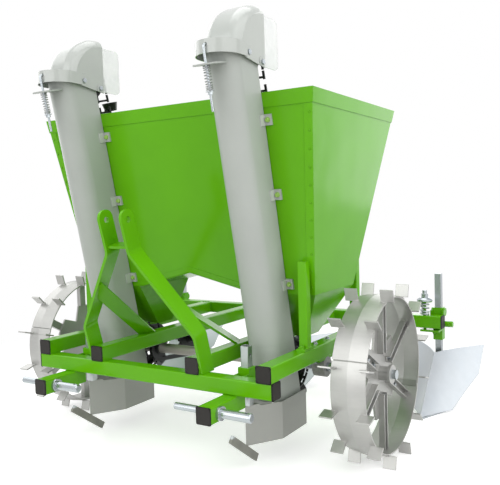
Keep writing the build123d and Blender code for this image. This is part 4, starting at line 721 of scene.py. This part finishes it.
def coil_recipe():
    """Compression spring along +Z with drawn-in end coils."""
    made = Recipe("coil", TENSION_COIL)
    wire = made.value("Wire")
    rise = made.value("Length") - wire * 2.0
    line = made.node("GeometryNodeCurveSpiral", sockets={
        "Resolution": COIL_STEPS, "Rotations": made.value("Turns"), "Start Radius": made.value("Radius"),
        "End Radius": made.value("Radius"), "Height": rise})
    turn = made.coordinate(axis=2) / rise * (2 * pi)
    swing = made.node("ShaderNodeMath", {"operation": "SINE"}, {0: turn})
    shift = made.vector(0.0, 0.0, wire - swing * rise * END_COIL_PULL)
    drawn = made.node("GeometryNodeSetPosition", sockets={"Geometry": line, "Offset": shift})
    ring = made.node("GeometryNodeCurvePrimitiveCircle", sockets={"Resolution": WIRE_SIDES, "Radius": wire})
    solid = made.node("GeometryNodeCurveToMesh", sockets={
        "Curve": drawn, "Profile Curve": ring, "Fill Caps": True})
    return made.close(solid, smooth=True)


def bolt_recipe():
    """Hexagon head with a turned-down crown on a round washer."""
    made = Recipe("hexagon_bolt", TAB_BOLT)
    head = made.value("Head")
    height = made.value("Height")
    sheet = made.value("Sheet")
    washer = made.cylinder(ROUND_SIDES, made.value("Washer"), sheet)
    shank = made.cylinder(HEX_SIDES, head, height)
    crown = made.cone(HEX_SIDES, head, head * CROWN_TAPER, height * BOLT_CROWN)
    shape = made.joined(
        made.raised(washer, sheet * 0.5),
        made.raised(shank, sheet + height * 0.5),
        made.raised(crown, sheet + height))
    return made.close(made.on_seats(shape), smooth=False)


def spot_recipe():
    """Low round mark of a spot weld under the paint."""
    made = Recipe("spot_mark", LAP_SPOT)
    radius = made.value("Radius")
    flat = made.vector(1.0, 1.0, made.value("Height") / radius)
    ball = made.ball(SPOT_SEGMENTS, SPOT_RINGS, radius)
    dome = made.node("GeometryNodeTransform", sockets={"Geometry": ball, "Scale": flat})
    return made.close(made.on_seats(dome), smooth=True)


def bead_recipe():
    """Weld bead: overlapping scallops of uneven size along a line."""
    made = Recipe("weld_bead", FRAME_BEAD)
    line = made.node("GeometryNodeMeshToCurve", sockets={"Mesh": made.value("Geometry")})
    steps = made.node("GeometryNodeResampleCurve", {"mode": "LENGTH"}, {
        "Curve": line, "Length": made.value("Step")})
    scallop = made.ball(BEAD_SEGMENTS, BEAD_RINGS, made.value("Radius"))
    size = made.node("FunctionNodeRandomValue", {"data_type": "FLOAT"}, {
        RANDOM_LOW: SMALLEST_BEAD, RANDOM_HIGH: LARGEST_BEAD, "Seed": made.value("Seed")}, out=RANDOM_NUMBER)
    along = made.node("GeometryNodeInputTangent")
    laid = made.node("GeometryNodeInstanceOnPoints", sockets={
        "Points": steps, "Instance": scallop, "Rotation": made.facing(along), "Scale": size})
    return made.close(laid, smooth=True)


def trip_nut_recipe():
    """Thick washer with sloping edges, nut and bolt end over a trip spring."""
    made = Recipe("trip_nut", TRIP_NUT_SIZES)
    radius = made.value("Radius")
    height = made.value("Height")
    head = made.value("Head")
    length = made.value("Length")
    lip = made.cone(DISC_SIDES, radius * WASHER_LIP_RADIUS, radius, height * WASHER_LIP)
    band = made.cylinder(DISC_SIDES, radius, height * WASHER_BAND)
    dome = made.cone(DISC_SIDES, radius, radius * WASHER_DOME_RADIUS, height * WASHER_DOME)
    nut = made.cylinder(HEX_SIDES, head, head)
    crown = made.cone(HEX_SIDES, head, head * CROWN_TAPER, head * NUT_CROWN)
    stud = made.cylinder(ROUND_SIDES, made.value("Wire"), length)
    shape = made.joined(
        lip,
        made.raised(band, height * (WASHER_LIP + WASHER_BAND / 2)),
        made.raised(dome, height * (WASHER_LIP + WASHER_BAND)),
        made.raised(nut, height + head * 0.5),
        made.raised(crown, height + head),
        made.raised(stud, length * 0.5))
    return made.close(made.on_seats(shape), smooth=False)


def cap_recipe():
    """Square plastic plug head with rounded corners, a bevelled edge and a shallow dish."""
    made = Recipe("tube_cap", TUBE_CAP)
    side = made.value("Side")
    height = made.value("Height")
    back = made.rounded_plate(side, side, made.value("Corner"), CAP_CORNER_STEPS)
    shape = back
    for rise, size in CAP_RINGS:
        raised = made.node("GeometryNodeExtrudeMesh", sockets={"Mesh": shape, "Offset Scale": height * rise})
        top = Wire(made, raised.socket.node.outputs["Top"])
        shape = made.node("GeometryNodeScaleElements", sockets={
            "Geometry": raised, "Selection": top, "Scale": size})
    return made.close(made.on_seats(made.merged(shape, made.flipped(back))), smooth=False)


def leg_recipe():
    """Small flat plate with rounded corners."""
    made = Recipe("tab_leg", TAB_LEG)
    length = made.value("Length")
    face = made.rounded_plate(length, made.value("Width"), made.value("Corner"), LEG_CORNER_STEPS)
    return made.close(made.on_seats(made.thickened(face, made.value("Sheet"))), smooth=False)


def joint_plate_recipe():
    """Crowned backing strip behind an open joint of a rim."""
    made = Recipe("joint_plate", RIM_JOINT_PLATE)
    length = made.value("Length")
    flat = made.node("GeometryNodeMeshGrid", sockets={
        "Size X": length, "Size Y": made.value("Width"),
        "Vertices X": PLATE_COLUMNS, "Vertices Y": PLATE_ROWS})
    reach = made.node("ShaderNodeMath", {"operation": "ABSOLUTE"}, {0: made.coordinate(axis=0)})
    fall = made.vector(0.0, 0.0, reach / length * made.value("Height") * -2.0)
    crowned = made.node("GeometryNodeSetPosition", sockets={"Geometry": flat, "Offset": fall})
    slab = made.thickened(made.flipped(crowned), made.value("Sheet"))
    return made.close(made.on_seats(slab), smooth=False)


COIL = coil_recipe()
BOLT = bolt_recipe()
SPOT = spot_recipe()
BEAD = bead_recipe()
CAP = cap_recipe()
TRIP_NUT = trip_nut_recipe()
JOINT_PLATE = joint_plate_recipe()
LEG = leg_recipe()


# Springs, bolts and other small pieces


def stand_tension_springs():
    """Springs of the hoods, between the bracket above and the nut below."""
    top = along_tube(BRACKET_Z, ROD_LOCAL_Y) - BRACKET_SHEET
    for row, x in ROWS.items():
        foot = leaning(x, ROD_LOCAL_Y, top - TENSION_COIL["Length"])
        seat = at(*foot)
        piece = grow("tension_coil_" + row, COIL, line_mesh([]), "spring_steel", TENSION_COIL)
        piece.data.transform(Matrix.Translation(seat) @ Matrix.Rotation(LEAN, 4, "X"))
        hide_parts("tension_spring_" + row)
        at(*leaning(x, ROD_LOCAL_Y, top))
        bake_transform(piece)
        nut = grow("tension_nut_" + row, BOLT, seat_mesh([(foot, DOWN_THE_TUBE)]), "zinc", TENSION_NUT)
        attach(nut, "hood_" + row)


def stand_trip_springs():
    """Springs of the ridging bodies, between the toolbar and the nut above."""
    finish = FINISHES["ridger_zinc"]
    for side, x in RIDGERS.items():
        foot = (x - TRIP_BOLT_OFFSET, TOOLBAR_Y + TUBE / 2, BEAM_TOP)
        seat = at(*foot)
        piece = grow("trip_coil_" + side, COIL, line_mesh([]), "spring_steel", TRIP_COIL, finish)
        piece.data.transform(Matrix.Translation(seat))
        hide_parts("trip_spring_" + side)
        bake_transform(piece)
        place = (foot[0], foot[1], BEAM_TOP + TRIP_COIL["Length"] - TRIP_NUT_SINK)
        nut = grow("trip_nut_" + side, TRIP_NUT, seat_mesh([(place, UPWARD)]), "zinc", TRIP_NUT_SIZES)
        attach(nut, "holder_" + side)


def place_tab_bolts():
    """Painted bolts in the tabs of the planting tubes, in a lighter yellow-green that is partly the bolts'
    own tint and partly a painted highlight.
    """
    seats = []
    for x, up in tab_places():
        seats += [(leaning(x + side * TAB_OUT, -TAB_SHEET, up), OUT_OF_FRONT) for side in SIDES]
    piece = grow("tab_bolts", BOLT, seat_mesh(seats), "green_paint", TAB_BOLT, BOLT_FINISH_WITH_PAINTED_HIGHLIGHT)
    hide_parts("tube_bolts")
    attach(piece, "frame")


def place_beam_bolts():
    """Painted bolts in the feet of the hopper's posts and plated ones in the axle's bearings."""
    feet = []
    hangers = []
    for side in SIDES:
        for y in POST_PLACES:
            for place in (y - FOOT_BOLT_GAP, y + POST + FOOT_BOLT_GAP):
                feet.append(((side * POST_X, place, BEAM_TOP + POST_FLANGE), UPWARD))
        for reach in (-BEARING_BOLT_REACH, BEARING_BOLT_REACH):
            hangers.append(((side * OUTER_BEAM_X, AXLE_Y + reach, BEAM_TOP), UPWARD))
            hangers.append(((side * OUTER_BEAM_X, AXLE_Y + reach, BEARING_FOOT_Z), DOWNWARD))
    piece = grow("foot_bolts", BOLT, seat_mesh(feet), "green_paint", FOOT_BOLT)
    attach(piece, "frame")
    piece = grow("bearing_bolts", BOLT, seat_mesh(hangers), "zinc", BEARING_BOLT)
    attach(piece, "frame")


def place_hub_bolts():
    """Bolts that hold the spokes to the hub plates."""
    seats = []
    for side in SIDES:
        x = side * (WHEEL_X + SPOKE_SEAT)
        for i in range(SPOKES):
            turn = 2 * pi * i / SPOKES
            for radius in SPOKE_BOLT_RADII:
                place = (x, AXLE_Y - radius * sin(turn), AXLE_Z + radius * cos(turn))
                seats.append((place, (float(side), 0.0, 0.0)))
    piece = grow("hub_bolts", BOLT, seat_mesh(seats), "zinc", HUB_BOLT)
    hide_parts("wheel_bolts")
    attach(piece, "axle")


def place_legs():
    """Legs of the tabs on the planting tubes' sides, laid out upright and then leaned, in a lighter grey than
    the tubes that is painted light.
    """
    middle = -TAB_SHEET - TAB_LEG["Width"] / 2
    seats = []
    for x, up in tab_places():
        seats += [((x + side * CHUTE_HALF, middle, up), (float(side), 0.0, 0.0)) for side in SIDES]
    piece = grow("tab_legs", LEG, seat_mesh(seats), "grey_sheet", TAB_LEG, TAB_FINISH_WITH_PAINTED_LIGHT)
    upright = Matrix.Translation((0.0, -SHIFT_Y * MILLIMETRE, 0.0))
    piece.data.transform(Matrix.Translation(at(0.0, FOOT_Y, 0.0)) @ Matrix.Rotation(LEAN, 4, "X") @ upright)
    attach(piece, "frame")


def place_caps():
    """Dished plugs in the open tube ends."""
    beam_z = CROSSBAR_TOP + TUBE / 2
    ends = [((x, 0.0, beam_z), FORWARD) for x in BEAM_PLACES]
    for side in SIDES:
        outward = (float(side), 0.0, 0.0)
        ends.append(((side * STUB_X, -STUB_REACH, STUB_Z), FORWARD))
        ends.append(((side * CROSSBAR_HALF, TUBE / 2, CROSSBAR_TOP - TUBE / 2), outward))
        ends.append(((side * TOOLBAR_HALF, TOOLBAR_Y + TUBE / 2, beam_z), outward))
    piece = grow("tube_caps", CAP, seat_mesh(ends), "black_plastic", TUBE_CAP)
    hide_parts("end_caps")
    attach(piece, "frame")


def back_joints():
    """Backing strips behind the open joints of the wheels' rims, in a steel darker than the rim, so that each
    joint shows a painted shadow line.
    """
    seats = []
    for side in SIDES:
        for angle in RIM_JOINTS:
            turn = radians(angle)
            way = (0.0, -sin(turn), cos(turn))
            place = (side * WHEEL_X, AXLE_Y + JOINT_SEAT * way[1], AXLE_Z + JOINT_SEAT * way[2])
            seats.append((place, way))
    # The darker opener steel on these strips is painted shade for the gap at each joint
    piece = grow("rim_joint_shade_plates", JOINT_PLATE, seat_mesh(seats), "opener_steel", RIM_JOINT_PLATE)
    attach(piece, "axle")


# Welds


def beam_seams():
    """Lines of the welds at both ends of the beams."""
    half = TUBE / 2
    inset = half - SEAM_INSET
    low = CROSSBAR_TOP + TUBE_CORNER
    high = BEAM_TOP - TUBE_CORNER
    z = CROSSBAR_TOP + SEAM_LIFT
    y = TOOLBAR_Y - SEAM_STAND
    lines = []
    for x in BEAM_PLACES:
        for edge in (-inset, inset):
            lines.append([(x + edge, SEAM_END, z), (x + edge, TUBE - SEAM_END, z)])
        lines.append([(x - half, y, low), (x - half, y, high), (x - half + TUBE_CORNER, y, BEAM_TOP),
                      (x + half - TUBE_CORNER, y, BEAM_TOP), (x + half, y, high), (x + half, y, low)])
    return lines


def front_seams():
    """Lines of the welds of the hitch stubs, the mast's feet and the opener sleeves."""
    inset = TUBE / 2 - SEAM_INSET
    z = CROSSBAR_BOTTOM - SEAM_LIFT
    lines = []
    for side in SIDES:
        for edge in (-inset, inset):
            x = side * STUB_X + edge
            lines.append([(x, SEAM_END, z), (x, TUBE - SEAM_END, z)])
        x = side * (MAST_SIDE_X + SEAM_STAND)
        for seam in (MAST_FRONT_SEAM, MAST_REAR_SEAM):
            lines.append([(x, y, CROSSBAR_TOP + rise) for y, rise in seam])
    behind = TUBE + SEAM_STAND
    for x in ROWS.values():
        for edge in (-SLEEVE_HALF, SLEEVE_HALF):
            lines.append([(x + edge, behind, SLEEVE_LOW), (x + edge, behind, SLEEVE_HIGH)])
    return lines


def post_seams():
    """Lines of the welds of the hopper's posts on their feet."""
    half = POST / 2
    corners = ((-half, -half), (half, -half), (half, half), (-half, half), (-half, -half))
    z = BEAM_TOP + POST_FLANGE
    return [[(side * POST_X + i, y + half + j, z) for i, j in corners] for side in SIDES for y in POST_PLACES]


def tube_seams():
    """Lines of the welds of the spring brackets and the tabs on the planting tubes."""
    under = along_tube(BRACKET_Z, ROD_LOCAL_Y) - BRACKET_SHEET
    angles = range(-BRACKET_SEAM_REACH, BRACKET_SEAM_REACH + 1, BRACKET_SEAM_STEP)
    turns = [radians(angle) for angle in angles]
    front = -TAB_SHEET - TAB_LEG["Width"]
    half = TAB_LEG["Length"] / 2
    corners = ((-TAB_SHEET, -half), (front, -half), (front, half), (-TAB_SHEET, half))
    lines = []
    for x in ROWS.values():
        lines.append([leaning(x + CHUTE_HALF * sin(turn), -CHUTE_STRAIGHT - CHUTE_HALF * cos(turn), under)
                      for turn in turns])
        for level in TAB_LEVELS:
            up = along_tube(level, 0.0)
            for side in SIDES:
                lines.append([leaning(x + side * CHUTE_HALF, out, up + rise) for out, rise in corners])
    return lines


def wheel_seams():
    """Lines of the welds of the cleats on the rims and of the hubs in their plates."""
    ends = ((CLEAT_INNER, RIM_CLEAT_RADIUS), (RIM_HALF, RIM_EDGE_RADIUS))
    ring = [radians(angle) for angle in range(0, FULL_TURN + 1, HUB_SEAM_STEP)]
    circle = [(AXLE_Y + HUB_RADIUS * cos(turn), AXLE_Z + HUB_RADIUS * sin(turn)) for turn in ring]
    lines = []
    for wheel in SIDES:
        for i in range(CLEATS_PER_EDGE):
            turn = radians(CLEAT_PHASE + i * FULL_TURN / CLEATS_PER_EDGE)
            for edge in SIDES:
                for face in (-CLEAT_HALF, CLEAT_HALF):
                    lines.append([(wheel * (WHEEL_X + edge * out),
                                   AXLE_Y + face * cos(turn) + radius * sin(turn),
                                   AXLE_Z + face * sin(turn) - radius * cos(turn)) for out, radius in ends])
        for face in (-HUB_PLATE_FACE, HUB_PLATE_FACE):
            lines.append([(wheel * (WHEEL_X + face), y, z) for y, z in circle])
    return lines


def lay_welds():
    """Weld beads on the frame, the planting tubes and the wheels."""
    seams = line_mesh(beam_seams() + front_seams() + post_seams())
    piece = grow("frame_welds", BEAD, seams, "green_paint", FRAME_BEAD)
    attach(piece, "frame")
    piece = grow("tube_welds", BEAD, line_mesh(tube_seams()), "grey_sheet", TUBE_BEAD)
    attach(piece, "frame")
    piece = grow("wheel_welds", BEAD, line_mesh(wheel_seams()), "wheel_steel", WHEEL_BEAD)
    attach(piece, "axle")


def mark_laps():
    """Spot-weld marks down the lapped corners of the hopper's front panel."""
    low = HOPPER_BOTTOM + CORNER_LAP
    high = HOPPER_TOP - RIM_BAND - CORNER_LAP
    marks = []
    for side in SIDES:
        for i in range(SPOTS_PER_CORNER):
            z = low + (high - low) * i / (SPOTS_PER_CORNER - 1)
            share = (z - HOPPER_BOTTOM) / (HOPPER_TOP - HOPPER_BOTTOM)
            half = HOPPER_BOTTOM_HALF + share * (HOPPER_TOP_HALF - HOPPER_BOTTOM_HALF)
            marks.append(((side * (half - CORNER_LAP / 2), front_panel_y(z), z), OUT_OF_FRONT))
    piece = grow("lap_spots", SPOT, seat_mesh(marks), "green_paint", LAP_SPOT)
    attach(piece, "frame")


# Camera, light and floor


def place_camera():
    """Camera at the photograph's place and angle."""
    turn = radians(CAMERA_AZIMUTH)
    drop = radians(CAMERA_DROP)
    roll = radians(CAMERA_ROLL)
    ahead = Vector((-sin(turn) * cos(drop), cos(turn) * cos(drop), -sin(drop)))
    right = Vector((cos(turn), sin(turn), 0.0))
    up = right.cross(ahead)
    across = right * cos(roll) + up * sin(roll)
    upright = up * cos(roll) - right * sin(roll)
    data = bpy.data.cameras.new("camera")
    data.sensor_fit = "HORIZONTAL"
    data.sensor_width = SENSOR_WIDTH
    data.lens = FOCAL_PIXELS / IMAGE_WIDTH * SENSOR_WIDTH
    data.clip_end = CAMERA_CLIP_END
    camera = bpy.data.objects.new("camera", data)
    turned = Matrix((across, upright, -ahead)).transposed().to_4x4()
    camera.matrix_world = Matrix.Translation(CAMERA_PLACE) @ turned
    bpy.context.scene.collection.objects.link(camera)
    bpy.context.scene.camera = camera


def softbox(name, place, aim, size, power):
    """Large square lamp facing a point."""
    data = bpy.data.lights.new(name, "AREA")
    data.shape = "SQUARE"
    data.size = size
    data.energy = power
    lamp = bpy.data.objects.new(name, data)
    facing = (Vector(aim) - Vector(place)).to_track_quat("-Z", "Y")
    lamp.matrix_world = Matrix.Translation(place) @ facing.to_matrix().to_4x4()
    bpy.context.scene.collection.objects.link(lamp)


def shown_rays(graph):
    """One for the rays that show the background: seen straight, mirrored or through clear sheet."""
    seen = graph.node("ShaderNodeLightPath", out="Is Camera Ray")
    mirrored = graph.node("ShaderNodeLightPath", out="Is Glossy Ray")
    through = graph.node("ShaderNodeLightPath", out="Is Transmission Ray")
    return seen + mirrored + through


def light_studio():
    """White surroundings to look at, a calmer level for the light, and the softboxes."""
    world = bpy.data.worlds.new("studio")
    bpy.context.scene.world = world
    world.use_nodes = True
    world.node_tree.nodes.clear()
    sky = Graph(world.node_tree)
    seen = sky.node("ShaderNodeBackground", sockets={"Color": WHITE, "Strength": 1.0})
    glow = sky.node("ShaderNodeBackground", sockets={"Color": WHITE, "Strength": WORLD_GLOW})
    both = sky.node("ShaderNodeMixShader", sockets={0: shown_rays(sky), 1: glow, 2: seen})
    sky.node("ShaderNodeOutputWorld", sockets={"Surface": both})
    for name, setting in SOFTBOXES.items():
        softbox(name, **setting)


def lay_floor():
    """Pale floor that keeps the object's shadow and turns into plain white away from it."""
    made = Finish("pale_floor")
    lit = made.node("ShaderNodeBsdfDiffuse", sockets={"Color": FLOOR_PALE})
    glow = made.node("ShaderNodeEmission", sockets={"Color": WHITE, "Strength": FLOOR_GLOW})
    near = made.node("ShaderNodeAddShader", sockets={0: lit, 1: glow})
    far = made.node("ShaderNodeEmission", sockets={"Color": WHITE, "Strength": 1.0})
    distance = made.node("ShaderNodeVectorMath", {"operation": "LENGTH"}, {0: made.place}, out="Value")
    fade = made.level(distance, FLOOR_NEAR, FLOOR_FAR)
    seen = made.node("ShaderNodeMixShader", sockets={0: fade, 1: near, 2: far})
    bounce = made.node("ShaderNodeBsdfDiffuse", sockets={"Color": FLOOR_BOUNCE})
    both = made.node("ShaderNodeMixShader", sockets={0: shown_rays(made), 1: bounce, 2: seen})
    made.node("ShaderNodeOutputMaterial", sockets={"Surface": both})
    corners = ((-1, -1), (1, -1), (1, 1), (-1, 1))
    mesh = bpy.data.meshes.new("floor")
    mesh.from_pydata([(x * FLOOR_HALF, y * FLOOR_HALF, 0.0) for x, y in corners], [], [(0, 1, 2, 3)])
    mesh.materials.append(made.material)
    floor = bpy.data.objects.new("floor", mesh)
    bpy.context.scene.collection.objects.link(floor)


bpy.context.scene.view_settings.view_transform = "Standard"
paint_frame()
stand_tension_springs()
stand_trip_springs()
place_tab_bolts()
place_beam_bolts()
place_hub_bolts()
place_legs()
place_caps()
back_joints()
lay_welds()
mark_laps()
place_camera()
light_studio()
lay_floor()
